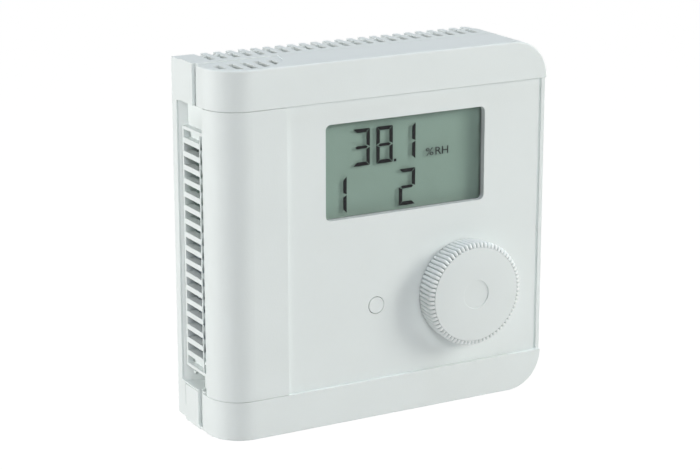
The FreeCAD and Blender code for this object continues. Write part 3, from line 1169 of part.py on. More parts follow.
def make_power_parts():
    converter_right = f"{POWER_HALF} - converter_inset"
    converter = block("power_converter", (f"{converter_right} - converter_wide", converter_right),
                      (POWER_FRONT, f"{CONTROL_BACK} - converter_clear"),
                      ("converter_foot", "converter_foot + converter_long"))
    cans = [rod(f"capacitor_{i}", "capacitor_size", f"{POWER_HALF} - capacitor_inset",
                (POWER_FRONT, f"{CONTROL_BACK} - capacitor_clear"), f"capacitor_z + {i} * capacitor_pitch")
            for i in range(int(value("capacitor_count")))]
    axis = f"{POWER_FRONT} + fuse_size / 2"
    tube = rod_across("fuse_glass", "fuse_tube", ("fuse_left", "fuse_left + fuse_long"), axis, "fuse_z")
    caps = [rod_across("fuse_cap_left", "fuse_size", ("fuse_left", "fuse_left + fuse_cap"), axis, "fuse_z"),
            rod_across("fuse_cap_right", "fuse_size",
                       ("fuse_left + fuse_long - fuse_cap", "fuse_left + fuse_long"), axis, "fuse_z")]
    disc = rod_across("varistor", "varistor_size",
                      ("varistor_x - varistor_thick / 2", "varistor_x + varistor_thick / 2"),
                      f"{POWER_FRONT} + varistor_size / 2", "varistor_z")
    return [converter, group("smoothing_capacitors", cans), fuse("mains_fuse", [tube] + caps), disc]


def make_sensor():
    """The sensor board stands behind the louvre, with the sensor on its left face."""
    board = block("humidity_board", (SENSOR_LEFT, f"{SENSOR_LEFT} + sensor_board_thick"),
                  ("power_back", SENSOR_FRONT),
                  ("sensor_board_foot", "sensor_board_foot + sensor_board_high"))
    middle = f"(power_back + {SENSOR_FRONT}) / 2"
    chip = block("sensor_chip", (f"{SENSOR_LEFT} - sensor_thick", SENSOR_LEFT),
                 (f"{middle} - sensor_size / 2", f"{middle} + sensor_size / 2"),
                 (f"{SENSOR_MIDDLE} - sensor_size / 2", f"{SENSOR_MIDDLE} + sensor_size / 2"))
    eye = rod_across("sensor_eye", "sensor_size / 2",
                     (f"{SENSOR_LEFT} - sensor_thick - {BEYOND}", f"{SENSOR_LEFT} - sensor_thick / 2"),
                     middle, SENSOR_MIDDLE)
    return board, cut("humidity_sensor", chip, [eye])


def make_chips():
    half = "chip_size / 2"
    chip = block("microcontroller", (f"chip_x - {half}", f"chip_x + {half}"),
                 (f"{CONTROL_BACK} - chip_thick", CONTROL_BACK), (f"{CHIP_Z} - {half}", f"{CHIP_Z} + {half}"))
    small = [block(f"small_chip_{i}",
                   (f"small_chip_x + {i} * small_chip_pitch - small_chip_long / 2",
                    f"small_chip_x + {i} * small_chip_pitch + small_chip_long / 2"),
                   (f"{CONTROL_BACK} - small_chip_thick", CONTROL_BACK),
                   (f"{CHIP_Z} - small_chip_wide / 2", f"{CHIP_Z} + small_chip_wide / 2"))
             for i in range(int(value("small_chip_count")))]
    return chip, group("small_chips", small)


def make_screws():
    plate, power, control = [], [], []
    for i, side in enumerate(("", "-")):
        for k, rise in enumerate(("", "-")):
            plate.append(screw(f"plate_screw_{i}{k}", "base_screw_shank", "base_screw_head",
                               f"{side}(width / 2 - base_screw_inset)",
                               f"{rise}(height / 2 - base_screw_inset)", FLOOR, "screw_head_high",
                               "base_floor + plate_depth - plate_web", False))
            power.append(screw(f"power_screw_{i}{k}", "screw_shank", "screw_head",
                               f"{side}({POWER_HOLE_X})", f"{rise}({POWER_HOLE_Z})", POWER_FRONT,
                               "screw_head_high", f"{POWER_FRONT} - ({FLOOR})", False))
    for i, (across, up) in enumerate(CONTROL_POSTS):
        control.append(screw(f"control_screw_{i}", "screw_shank", "screw_head", across, up,
                             f"{CONTROL_BACK} - screw_head_high", "screw_head_high",
                             f"{PANEL_BACK} - screw_short - ({CONTROL_BACK})", True))
    return [group("plate_screws", plate), group("power_board_screws", power),
            group("control_board_screws", control)]


# The nodes

nodes = {}
nodes["wall_plate"] = make_wall_plate()
nodes["base_housing"] = make_base_housing()
nodes["side_louvre"] = make_side_louvre()
nodes["front_cover"] = trim_cover(make_front_cover())
nodes["front_fascia"] = make_front_fascia()
nodes["lcd_holder"] = make_lcd_holder()
nodes["lcd_front_glass"] = display_layer("lcd_front_glass", SEGMENT_FRONT, GLASS_FRONT, GLASS_HALF_Z)
nodes["lcd_rear_glass"] = display_layer("lcd_rear_glass", REFLECTOR_FRONT, REAR_GLASS_FRONT,
                                        REAR_GLASS_HALF_Z)
nodes["lcd_reflector"] = display_layer("lcd_reflector", f"{REFLECTOR_FRONT} - reflector_thick",
                                       REFLECTOR_FRONT, REAR_GLASS_HALF_Z)
nodes["lcd_segments"] = make_lcd_segments()
nodes["contact_strips"] = make_contact_strips()
nodes["control_board"] = make_control_board()
nodes["encoder_body"] = make_encoder()
nodes["encoder_shaft"] = rod("encoder_shaft", "shaft_size", KNOB_X,
                             (f"{CONTROL_FRONT} + shaft_rise", f"{KNOB_FRONT} - shaft_short"), "knob_z")
nodes["control_knob"] = make_knob()
nodes["push_button"], nodes["switch_plunger"], nodes["button_switch"] = make_button()
nodes["power_board"] = make_power_board()
nodes["supply_terminals"] = make_terminals("supply_terminals", "supply_left", "supply_ways")
nodes["output_terminals"] = make_terminals("output_terminals", "output_left", "output_ways")
nodes["terminal_screws"], nodes["clamp_plates"] = make_terminal_metal()
nodes["relay_stage_1"] = make_relay("relay_stage_1", 0)
nodes["relay_stage_2"] = make_relay("relay_stage_2", 1)
nodes["board_socket"], nodes["header_pins"] = make_socket_and_pins()
for item in make_power_parts() + make_screws():
    nodes[item.Label] = item
nodes["humidity_board"], nodes["humidity_sensor"] = make_sensor()
nodes["microcontroller"], nodes["small_chips"] = make_chips()
doc.recompute()

for node, item in nodes.items():
    if item.Label != node:
        for other in doc.getObjectsByLabel(node):
            other.Label = node + "_unslotted"
        item.Label = node

for item in doc.Objects:
    if "Invalid" in item.State or "Error" in item.State:
        raise RuntimeError(f"{item.Name}: {item.State}")
for node, item in nodes.items():
    if item.Shape.isNull() or not item.Shape.isValid() or not item.Shape.Solids:
        raise RuntimeError(f"{node} has no valid solid")

os.makedirs("parts", exist_ok=True)
for node, item in nodes.items():
    item.Shape.exportStep(f"parts/{node}.step")
    print(node, len(item.Shape.Solids), round(item.Shape.Volume, 1))
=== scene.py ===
import math

import bmesh
import bpy
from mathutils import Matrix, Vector


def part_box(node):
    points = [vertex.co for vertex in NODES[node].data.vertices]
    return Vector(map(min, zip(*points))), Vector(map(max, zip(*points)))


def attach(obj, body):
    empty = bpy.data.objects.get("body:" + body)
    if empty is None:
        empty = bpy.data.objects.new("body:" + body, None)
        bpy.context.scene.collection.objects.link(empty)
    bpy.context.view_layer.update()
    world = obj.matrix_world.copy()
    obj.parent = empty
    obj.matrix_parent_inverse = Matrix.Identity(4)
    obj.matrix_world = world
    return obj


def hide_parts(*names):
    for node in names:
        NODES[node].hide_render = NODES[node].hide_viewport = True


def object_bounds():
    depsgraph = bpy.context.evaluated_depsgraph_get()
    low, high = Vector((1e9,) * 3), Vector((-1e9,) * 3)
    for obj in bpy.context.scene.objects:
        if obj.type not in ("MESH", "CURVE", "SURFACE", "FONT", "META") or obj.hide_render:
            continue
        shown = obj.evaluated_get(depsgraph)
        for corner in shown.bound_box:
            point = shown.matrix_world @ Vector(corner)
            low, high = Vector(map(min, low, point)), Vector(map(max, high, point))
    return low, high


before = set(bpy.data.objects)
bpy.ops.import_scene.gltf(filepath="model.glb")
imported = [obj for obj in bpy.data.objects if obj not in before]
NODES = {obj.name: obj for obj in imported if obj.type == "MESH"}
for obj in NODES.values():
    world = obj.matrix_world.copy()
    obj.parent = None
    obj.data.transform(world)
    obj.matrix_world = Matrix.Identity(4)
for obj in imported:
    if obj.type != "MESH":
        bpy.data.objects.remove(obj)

# Room hygrostat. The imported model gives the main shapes. This script gives the finishes, the ridged knob,
# the unit on the display, the stage and the camera. Metres, +Z up, the front faces -Y.

bl_info = {
    "name": "Hygrostat",
    "version": (1, 0, 0),
    "blender": (4, 5, 0),
    "location": "3D View > Sidebar > Hygrostat",
    "description": "Finishes, ridged knob, display unit, stage and camera of a room hygrostat",
    "category": "Object",
}

CAD_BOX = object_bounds()
MM = 0.001
WELD = 1e-7                  # corners nearer than this become one

# The knob's finer measures
RIDGE_STEPS = 8              # points round one ridge
RIM_TURN = 10                # degrees between the rings of the rounded rim
RIM_GROWTH = 0.005           # share of their depth that the valleys gain with each degree round the rim
END_DEPTH = 1.4              # depth of the valleys at the ends of the ridges, 1 being that of the side
HEEL_INSET = 0.15 * MM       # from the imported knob's side in to the crests at the back
EDGE_INSET = 0.1 * MM        # the back edge is broken by this much
EDGE_HIGH = 0.4 * MM         # height of the broken edge, and of the step above it
# PLAIN_SHADE is the least painted shade of the smooth face, which gets no painted highlight
PLAIN_SHADE = 0.3            # shade of the smooth face, neither valley nor crest
SKIRT_WALL = 1.6 * MM
ROOF = 2.0 * MM              # thickness of the face
HUB = 4.5 * MM               # radius of the hub
SHAFT_FIT = 0.05 * MM        # room round the shaft

# The thin groove between the ridges' ends and the face, with shade painted into it. Each step is the way in
# from the rounded rim, how far it is sunk, the depth of its valleys (1 being that of the side) and its least
# painted shade.
FACE_GROOVE = ((0.0, 0.0, END_DEPTH, 0.0), (0.05 * MM, 0.14 * MM, 0.8, 0.8),
               (0.12 * MM, 0.02 * MM, 0.0, 0.5), (0.2 * MM, 0.0, 0.0, PLAIN_SHADE))

# The rounded edge of the disc in the face: the way out from the disc, and how far it is sunk.
DISC_RIM = 0.3 * MM
DISC_EDGE = ((DISC_RIM, 0.0), (0.06 * MM, 0.0), (0.02 * MM, 0.03 * MM))

# The display's words
WORD_EXTRUDE = 0.004         # any thickness, as the words are then made as thick as INK_SHARE says
INK_SHARE = 0.6              # thickness of the words, 1 being that of the figures

# The stage
FLOOR_HALF = 3.0
LAMP_WAY = 1.0               # from the middle of the object to each lamp
CAMERA_SENSOR = 36.0         # millimetres, as is the lens
CAMERA_LENS = 111.786
CAMERA_PLACE = (-0.28214, -0.51355, 0.15827)
CAMERA_DOWN = 15.64          # degrees below level
CAMERA_TURN = 29.10          # degrees to the right of straight ahead


# Shapes

def middle_of(name):
    """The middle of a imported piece."""
    low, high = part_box(name)
    return (low + high) / 2


def finished(bm, name, material, body, smooth_angle=35):
    """Turns a bmesh into a piece at the origin that rides on a body. Edges over the angle stay sharp."""
    bmesh.ops.recalc_face_normals(bm, faces=bm.faces)
    limit = math.radians(smooth_angle)
    for face in bm.faces:
        face.smooth = True
    for edge in bm.edges:
        edge.smooth = edge.calc_face_angle(0) < limit
    mesh = bpy.data.meshes.new(name)
    bm.to_mesh(mesh)
    bm.free()
    piece = bpy.data.objects.new(name, mesh)
    bpy.context.scene.collection.objects.link(piece)
    mesh.materials.append(material)
    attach(piece, body)
    return piece


def dress(material, *names):
    """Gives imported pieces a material."""
    for name in names:
        for place in NODES[name].material_slots:
            place.material = material


# Shader helpers

def add(tree, kind, inputs=(), **settings):
    """A node with its settings, and its inputs set or linked by name or number."""
    made = tree.nodes.new(kind)
    for name, setting in settings.items():
        setattr(made, name, setting)
    for name, source in dict(inputs).items():
        if isinstance(source, bpy.types.NodeSocket):
            tree.links.new(source, made.inputs[name])
        else:
            made.inputs[name].default_value = source
    return made


def new_group(name, inputs, outputs):
    """An empty shader node group. Inputs are (name, default), and all sockets are numbers."""
    tree = bpy.data.node_groups.new(name, "ShaderNodeTree")
    for label, default in inputs:
        socket = tree.interface.new_socket(name=label, in_out="INPUT", socket_type="NodeSocketFloat")
        socket.default_value = default
    for label in outputs:
        tree.interface.new_socket(name=label, in_out="OUTPUT", socket_type="NodeSocketFloat")
    return tree, tree.nodes.new("NodeGroupInput"), tree.nodes.new("NodeGroupOutput")


def place_group(tree, group, inputs=()):
    """A node that holds a group, with its inputs set."""
    made = tree.nodes.new("ShaderNodeGroup")
    made.node_tree = group
    for name, setting in dict(inputs).items():
        made.inputs[name].default_value = setting
    return made


def arithmetic(tree, operation, first, second):
    """The result of a sum, product or other operation on two numbers."""
    return add(tree, "ShaderNodeMath", {0: first, 1: second}, operation=operation).outputs[0]


def mapped(tree, source, low, high, new_low, new_high):
    """A number mapped from one range to another, held at its ends."""
    inputs = {"Value": source, "From Min": low, "From Max": high, "To Min": new_low, "To Max": new_high}
    return add(tree, "ShaderNodeMapRange", inputs).outputs[0]


def mixed(tree, factor, first, second, blend="MIX"):
    """Two colours mixed by a mask."""
    made = add(tree, "ShaderNodeMix", data_type="RGBA", blend_type=blend)
    for place, source in ((0, factor), (6, first), (7, second)):
        if isinstance(source, bpy.types.NodeSocket):
            tree.links.new(source, made.inputs[place])
        else:
            made.inputs[place].default_value = source
    return made.outputs[2]


def solid(colour, shade=1.0):
    """A colour as four numbers, darker or lighter."""
    return tuple(min(part * shade, 1.0) for part in colour[:3]) + (1.0,)


def new_material(name):
    """A material with one Principled shader."""
    material = bpy.data.materials.new(name)
    material.use_nodes = True
    tree = material.node_tree
    tree.nodes.clear()
    output = tree.nodes.new("ShaderNodeOutputMaterial")
    shader = tree.nodes.new("ShaderNodeBsdfPrincipled")
    tree.links.new(shader.outputs["BSDF"], output.inputs["Surface"])
    return material, tree, shader


def show(tree, shader):
    """Makes a shader the one that a material shows."""
    output = next(node for node in tree.nodes if node.type == "OUTPUT_MATERIAL")
    tree.links.new(shader.outputs[0], output.inputs["Surface"])


# Effects that several materials share

def grain_group():
    """Fine spark-eroded grain of a mould, and a broad mottle for tone and gloss."""
    known = bpy.data.node_groups.get("Moulded grain")
    if known:
        return known
    tree, entry, leave = new_group("Moulded grain", [("Grain size", 0.0004), ("Mottle size", 0.02)],
                                   ["Height", "Mottle"])
    place = add(tree, "ShaderNodeTexCoord").outputs["Object"]
    fine = arithmetic(tree, "DIVIDE", 1.0, entry.outputs["Grain size"])
    broad = arithmetic(tree, "DIVIDE", 1.0, entry.outputs["Mottle size"])
    grain = add(tree, "ShaderNodeTexNoise", {"Vector": place, "Scale": fine, "Detail": 2.0, "Roughness": 0.6})
    cloud = add(tree, "ShaderNodeTexNoise", {"Vector": place, "Scale": broad, "Detail": 3.0})
    tree.links.new(grain.outputs[0], leave.inputs["Height"])
    tree.links.new(mapped(tree, cloud.outputs[0], 0.3, 0.7, 0.0, 1.0), leave.inputs["Mottle"])
    return tree


def turned_group():
    """Fine lines round a part that was turned or drawn, and blotches of its plating."""
    known = bpy.data.node_groups.get("Turned lines")
    if known:
        return known
    tree, entry, leave = new_group("Turned lines", [("Line size", 0.0002), ("Blotch size", 0.002)],
                                   ["Lines", "Blotches"])
    place = add(tree, "ShaderNodeTexCoord").outputs["Object"]
    drawn = add(tree, "ShaderNodeMapping", {"Vector": place, "Scale": (1.0, 6.0, 1.0)})
    fine = arithmetic(tree, "DIVIDE", 1.0, entry.outputs["Line size"])
    broad = arithmetic(tree, "DIVIDE", 1.0, entry.outputs["Blotch size"])
    lines = add(tree, "ShaderNodeTexNoise", {"Vector": drawn.outputs[0], "Scale": fine, "Detail": 1.0})
    blotches = add(tree, "ShaderNodeTexNoise", {"Vector": place, "Scale": broad, "Detail": 3.0})
    tree.links.new(lines.outputs[0], leave.inputs["Lines"])
    tree.links.new(mapped(tree, blotches.outputs[0], 0.3, 0.7, 0.0, 1.0), leave.inputs["Blotches"])
    return tree


# Finishes

def moulded_plastic(name, colour, roughness=0.5, grain_size=0.0004, grain_depth=0.00001, shift=0.03,
                    mottle_size=0.02):
    """Moulded plastic: a fine grain, and a tone and a gloss that vary slightly."""
    material, tree, shader = new_material(name)
    grain = place_group(tree, grain_group(), {"Grain size": grain_size, "Mottle size": mottle_size})
    mottle = grain.outputs["Mottle"]
    tree.links.new(mixed(tree, mottle, solid(colour, 1 - shift), solid(colour, 1 + shift)),
                   shader.inputs["Base Color"])
    tree.links.new(mapped(tree, mottle, 0.0, 1.0, roughness - 0.04, roughness + 0.04),
                   shader.inputs["Roughness"])
    bump = add(tree, "ShaderNodeBump", {"Height": grain.outputs["Height"], "Distance": grain_depth,
                                        "Strength": 1.0})
    tree.links.new(bump.outputs["Normal"], shader.inputs["Normal"])
    return material


def shade_valleys(material, strength):
    """Paints shade into the narrow valleys between ridges, where little light gets in, and paints a highlight
    onto their crests.
    """
    tree = material.node_tree
    shader = next(node for node in tree.nodes if node.type == "BSDF_PRINCIPLED")
    plain = shader.inputs["Base Color"].links[0].from_socket
    # Mask from the knob's mesh: how deep in a valley each point lies, 0 on a crest
    valley = add(tree, "ShaderNodeAttribute", attribute_name="valley")
    # Painted shade: a dark colour mixed in towards the bottoms of the valleys
    narrow = arithmetic(tree, "POWER", valley.outputs["Fac"], 3.5)
    valley_painted_shade = arithmetic(tree, "MULTIPLY", narrow, strength)
    # Painted highlight: white mixed in on the crests, fading out a little way down their flanks
    crest = mapped(tree, valley.outputs["Fac"], 0.0, 0.3, 0.6, 0.0)
    crest_painted_highlight = mixed(tree, crest, plain, (1.0, 1.0, 1.0, 1))
    tree.links.new(mixed(tree, valley_painted_shade, crest_painted_highlight, (0.05, 0.055, 0.06, 1)), shader.inputs["Base Color"])


def plated_metal(name, colour, roughness=0.3, line_size=0.0002, line_depth=0.000004):
    """Bare or plated metal with fine lines."""
    material, tree, shader = new_material(name)
    turned = place_group(tree, turned_group(), {"Line size": line_size})
    blotches = turned.outputs["Blotches"]
    tree.links.new(mixed(tree, blotches, solid(colour, 0.88), solid(colour, 1.05)),
                   shader.inputs["Base Color"])
    tree.links.new(mapped(tree, blotches, 0.0, 1.0, roughness - 0.06, roughness + 0.08),
                   shader.inputs["Roughness"])
    shader.inputs["Metallic"].default_value = 1.0
    bump = add(tree, "ShaderNodeBump", {"Height": turned.outputs["Lines"], "Distance": line_depth})
    tree.links.new(bump.outputs["Normal"], shader.inputs["Normal"])
    return material


def display_glass(look):
    """Clear glass that lets lamp light through to the reflector."""
    material, tree, shader = new_material("Display glass")
    shader.inputs["Base Color"].default_value = solid(look.glass_tint)
    shader.inputs["Transmission Weight"].default_value = 1.0
    shader.inputs["IOR"].default_value = look.glass_ior
    grain = place_group(tree, grain_group(), {"Grain size": 0.0003, "Mottle size": 0.01})
    tree.links.new(mapped(tree, grain.outputs["Mottle"], 0.0, 1.0, 0.02, 0.06), shader.inputs["Roughness"])
    path = add(tree, "ShaderNodeLightPath")
    unseen = arithmetic(tree, "MAXIMUM", path.outputs["Is Shadow Ray"], path.outputs["Is Diffuse Ray"])
    clear = add(tree, "ShaderNodeBsdfTransparent")
    show(tree, add(tree, "ShaderNodeMixShader", {0: unseen, 1: shader.outputs[0], 2: clear.outputs[0]}))
    return material


def display_background(look):
    """The grey-green foil behind the display, with its fine satin streaks."""
    material, tree, shader = new_material("Display background")
    place = add(tree, "ShaderNodeTexCoord").outputs["Object"]
    drawn = add(tree, "ShaderNodeMapping", {"Vector": place, "Scale": (1.0, 1.0, 8.0)})
    streaks = add(tree, "ShaderNodeTexNoise", {"Vector": drawn.outputs[0], "Scale": 900.0, "Detail": 2.0})
    darker, lighter = solid(look.background, 0.97), solid(look.background, 1.03)
    tree.links.new(mixed(tree, streaks.outputs[0], darker, lighter), shader.inputs["Base Color"])
    tree.links.new(mapped(tree, streaks.outputs[0], 0.3, 0.7, 0.5, 0.65), shader.inputs["Roughness"])
    bump = add(tree, "ShaderNodeBump", {"Height": streaks.outputs[0], "Distance": 0.000003})
    tree.links.new(bump.outputs["Normal"], shader.inputs["Normal"])
    return material


def solder_mask(look):
    """Green board varnish over copper tracks, with tinned pads."""
    material, tree, shader = new_material("Circuit board")
    place = add(tree, "ShaderNodeTexCoord").outputs["Object"]
    turned = add(tree, "ShaderNodeMapping", {"Vector": place, "Rotation": (math.radians(90), 0.0, 0.0)})
    tracks = add(tree, "ShaderNodeTexBrick", {
        "Vector": turned.outputs[0], "Color1": (0, 0, 0, 1), "Color2": (1, 1, 1, 1), "Mortar": (1, 1, 1, 1),
        "Scale": 220.0, "Mortar Size": 0.06, "Mortar Smooth": 0.3, "Bias": -0.6, "Brick Width": 1.7,
        "Row Height": 0.32}, offset=0.37, offset_frequency=3, squash=0.6, squash_frequency=2)
    ways = tracks.outputs["Fac"]
    grain = place_group(tree, grain_group(), {"Grain size": 0.0008, "Mottle size": 0.006})
    green = mixed(tree, grain.outputs["Mottle"], solid(look.board, 0.85), solid(look.board, 1.1))
    tree.links.new(mixed(tree, ways, green, solid(look.board, 1.9)), shader.inputs["Base Color"])
    tree.links.new(mapped(tree, grain.outputs["Mottle"], 0.0, 1.0, 0.22, 0.34), shader.inputs["Roughness"])
    bump = add(tree, "ShaderNodeBump", {"Height": ways, "Distance": 0.00003})
    tree.links.new(bump.outputs["Normal"], shader.inputs["Normal"])
    shader.inputs["Coat Weight"].default_value = 0.4
    return material


# Sizes and colours that a user would change

class HYGROSTAT_PG_plastic(bpy.types.PropertyGroup):
    colour: bpy.props.FloatVectorProperty(
        name="White plastic", description="Colour of the housing, the front, the knob and the button",
        subtype="COLOR", size=3, min=0, max=1, default=(0.83, 0.875, 0.868))
    roughness: bpy.props.FloatProperty(
        name="Roughness", description="Roughness of the white plastic", subtype="FACTOR", min=0.1, max=1,
        default=0.55)
    grain_size: bpy.props.FloatProperty(
        name="Grain size", description="Size of the fine grain", unit="LENGTH", precision=5, min=0.00005,
        default=0.0005)
    grain_depth: bpy.props.FloatProperty(
        name="Grain depth", description="Depth of the fine grain", unit="LENGTH", precision=6, min=0,
        default=0.00002)


class HYGROSTAT_PG_knob(bpy.types.PropertyGroup):
    ridges: bpy.props.IntProperty(
        name="Ridges", description="Ridges round the knob", min=12, max=180, default=72)
    ridge_depth: bpy.props.FloatProperty(
        name="Ridge depth", description="Depth of the grooves between the ridges", unit="LENGTH", precision=5,
        min=0, default=0.00058)
    bevel: bpy.props.FloatProperty(
        name="Rim", description="Radius of the rounded rim", unit="LENGTH", precision=5, min=0.0002,
        default=0.0011)
    flare: bpy.props.FloatProperty(
        name="Flare", description="Radius gained from the back edge to the rim", unit="LENGTH", precision=5,
        min=0, default=0.0004)
    # Strength of the shade painted into the valleys of the knob's colour
    valley_shade: bpy.props.FloatProperty(
        name="Valley shade", description="Shade of the narrow valleys between the ridges", subtype="FACTOR",
        min=0, max=1, default=0.85)
    dimple: bpy.props.FloatProperty(
        name="Disc", description="Radius of the shallow disc in the face", unit="LENGTH", precision=5,
        min=0.001, default=0.00395)
    dimple_depth: bpy.props.FloatProperty(
        name="Disc depth", description="Depth of the shallow disc", unit="LENGTH", precision=5, min=0,
        default=0.0003)


class HYGROSTAT_PG_display(bpy.types.PropertyGroup):
    background: bpy.props.FloatVectorProperty(
        name="Background", description="Colour behind the figures", subtype="COLOR", size=3, min=0, max=1,
        default=(0.312, 0.41, 0.362))
    figures: bpy.props.FloatVectorProperty(
        name="Figures", description="Colour of the figures", subtype="COLOR", size=3, min=0, max=1,
        default=(0.014, 0.014, 0.017))
    glass_tint: bpy.props.FloatVectorProperty(
        name="Glass", description="Tint of the glass", subtype="COLOR", size=3, min=0, max=1,
        default=(0.97, 1.0, 0.985))
    glass_ior: bpy.props.FloatProperty(
        name="Glass index", description="Refraction of the coated glass", min=1.01, max=2, default=1.2)
    unit_rise: bpy.props.FloatProperty(
        name="Unit rise", description="Foot of the letters above the middle of the display", unit="LENGTH",
        precision=5, default=0.0006)
    unit_weight: bpy.props.FloatProperty(
        name="Unit weight", description="Extra thickness of the letters' strokes", precision=3,
        default=0.004)
    unit_height: bpy.props.FloatProperty(
        name="Unit height", description="Height of the letters of the unit", unit="LENGTH", precision=5,
        min=0.0005, default=0.0021)


class HYGROSTAT_PG_inside(bpy.types.PropertyGroup):
    board: bpy.props.FloatVectorProperty(
        name="Boards", description="Colour of the circuit boards", subtype="COLOR", size=3, min=0, max=1,
        default=(0.02, 0.16, 0.07))
    terminal: bpy.props.FloatVectorProperty(
        name="Terminals", description="Colour of the terminal blocks", subtype="COLOR", size=3, min=0, max=1,
        default=(0.05, 0.30, 0.10))
    relay: bpy.props.FloatVectorProperty(
        name="Relays", description="Colour of the relays", subtype="COLOR", size=3, min=0, max=1,
        default=(0.05, 0.10, 0.35))


class HYGROSTAT_PG_stage(bpy.types.PropertyGroup):
    key: bpy.props.FloatProperty(
        name="Key lamp", description="Soft lamp at the upper right", unit="POWER", min=0, default=5.1)
    side: bpy.props.FloatProperty(
        name="Side lamp", description="Broad lamp at the left", unit="POWER", min=0, default=6.45)
    top: bpy.props.FloatProperty(
        name="Top lamp", description="Cool lamp above", unit="POWER", min=0, default=3.6)
    fill: bpy.props.FloatProperty(
        name="Fill lamp", description="Weak lamp in front", unit="POWER", min=0, default=3.0)
    sky: bpy.props.FloatProperty(
        name="Surroundings", description="Light from all round", min=0, max=1, default=0.0)
    floor_drop: bpy.props.FloatProperty(
        name="Floor", description="Floor below the object", unit="LENGTH", min=0, default=0.25)


# Operators

class HYGROSTAT_OT_housing(bpy.types.Operator):
    """Gives the white mouldings of the housing and the front their fine matt finish"""
    bl_idname = "hygrostat.housing"
    bl_label = "Housing"

    def execute(self, context):
        look = context.scene.hygrostat_plastic
        matt = moulded_plastic("White plastic", look.colour, look.roughness, look.grain_size,
                               look.grain_depth, shift=0.012)
        dress(matt, "wall_plate", "base_housing", "side_louvre", "front_cover")
        face = moulded_plastic("White front plastic", look.colour, look.roughness, look.grain_size,
                               look.grain_depth, shift=0.01, mottle_size=0.03)
        dress(face, "front_fascia")
        satin = moulded_plastic("White button plastic", look.colour, look.roughness - 0.1, look.grain_size,
                                look.grain_depth / 2, shift=0.01)
        dress(satin, "push_button")
        dress(moulded_plastic("Grey plastic", (0.42, 0.45, 0.45), 0.6), "lcd_holder")
        return {"FINISHED"}


def knob_ring(radius, place, depth=0.0, way=0.0, shade=0.0):
    """One ring of the knob: its radius, its place along Y, the depth of its valleys, the way they sink (0 is
    inwards and a right angle is backwards) and its least painted shade."""
    return radius, place, depth, way, shade


def outer_rings(sizes, radius, front, back):
    """The rings of the knob's ridged side, rounded rim and face, from its back edge to the disc."""
    deep, bevel = sizes.ridge_depth, sizes.bevel
    heel, flat = radius - HEEL_INSET, radius - bevel
    rim = heel + sizes.flare
    rings = [knob_ring(heel - EDGE_INSET, back, deep * END_DEPTH),
             knob_ring(heel, back - EDGE_HIGH, deep * END_DEPTH),
             knob_ring(heel, back - 2 * EDGE_HIGH, deep),
             knob_ring((heel + rim) / 2, (back + front) / 2, deep)]
    for turn in range(0, 90, RIM_TURN):
        angle = math.radians(turn)
        rings.append(knob_ring(flat + (rim - flat) * math.cos(angle), front + bevel - bevel * math.sin(angle),
                               deep * (1 + turn * RIM_GROWTH), angle))
    for inset, sunk, depth, shade in FACE_GROOVE:
        rings.append(knob_ring(flat - inset, front + sunk, deep * depth, math.radians(90), shade))
    for out, sunk in DISC_EDGE:
        rings.append(knob_ring(sizes.dimple + out, front + sunk, shade=PLAIN_SHADE))
    for inset in (0.0, DISC_RIM):
        rings.append(knob_ring(sizes.dimple - inset, front + sizes.dimple_depth, shade=PLAIN_SHADE))
    return rings


def inner_rings(radius, front, back):
    """The rings inside the knob: the skirt, the roof, the hub and the bore for the encoder's shaft."""
    shaft_low, shaft_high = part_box("encoder_shaft")
    bore = (shaft_high.x - shaft_low.x) / 2 + SHAFT_FIT
    return [knob_ring(radius - SKIRT_WALL, back), knob_ring(radius - SKIRT_WALL, front + ROOF),
            knob_ring(HUB, front + ROOF), knob_ring(HUB, back), knob_ring(bore, back),
            knob_ring(bore, shaft_low.y)]


class HYGROSTAT_OT_knob(bpy.types.Operator):
    """Makes the knurled knob, with ridges that run over its rounded rim"""
    bl_idname = "hygrostat.knob"
    bl_label = "Knob"

    def execute(self, context):
        sizes = context.scene.hygrostat_knob
        look = context.scene.hygrostat_plastic
        low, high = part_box("control_knob")
        axis = (low + high) / 2
        radius = (high.x - low.x) / 2
        front, back = low.y, high.y

        bm = bmesh.new()
        step = bm.verts.layers.int.new("step")
        # Mask for the shade painted into the valleys and the highlight painted onto the crests
        valley = bm.verts.layers.float.new("valley")
        bmesh.ops.create_circle(bm, segments=sizes.ridges * RIDGE_STEPS, radius=radius)
        bm.verts.ensure_lookup_table()
        for vert in bm.verts:
            vert[step] = vert.index

        def settle(verts, ring):
            """Puts corners on a ring. The crest of each ridge is round, and the valleys are sharp. Each
            corner also gets its level of painted shade, from its depth in the valley and the ring's least
            shade.
            """
            crest, place, depth, way, shade = ring
            for vert in verts:
                ridge, part = divmod(vert[step], RIDGE_STEPS)
                lean = math.radians(-90 + 180 * part / RIDGE_STEPS)
                angle = (ridge + (math.sin(lean) + 1) / 2) * 2 * math.pi / sizes.ridges
                sink = depth * (1 - math.cos(lean))
                vert[valley] = max(sink / sizes.ridge_depth if sink else 0.0, shade)
                reach = crest - sink * math.cos(way)
                vert.co = Vector((axis.x + reach * math.cos(angle), place + sink * math.sin(way),
                                  axis.z + reach * math.sin(angle)))

        def grow(edges, ring):
            """Draws edges out to a new ring, and returns the ring's edges."""
            made = bmesh.ops.extrude_edge_only(bm, edges=edges)["geom"]
            settle([part for part in made if isinstance(part, bmesh.types.BMVert)], ring)
            return [part for part in made if isinstance(part, bmesh.types.BMEdge)]

        rings = outer_rings(sizes, radius, front, back)
        settle(bm.verts, rings[0])
        first = bm.edges[:]
        for run in (rings[1:], inner_rings(radius, front, back)):
            edges = first
            for ring in run:
                edges = grow(edges, ring)
            bmesh.ops.contextual_create(bm, geom=edges)
        satin = moulded_plastic("White knob plastic", look.colour, look.roughness - 0.22, look.grain_size,
                                look.grain_depth / 2, shift=0.008)
        # Paints shade into the knob's valleys and a highlight onto its crests
        shade_valleys(satin, sizes.valley_shade)
        knob = finished(bm, "knurled_knob", satin, "knob")
        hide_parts("control_knob")
        return {"FINISHED"}


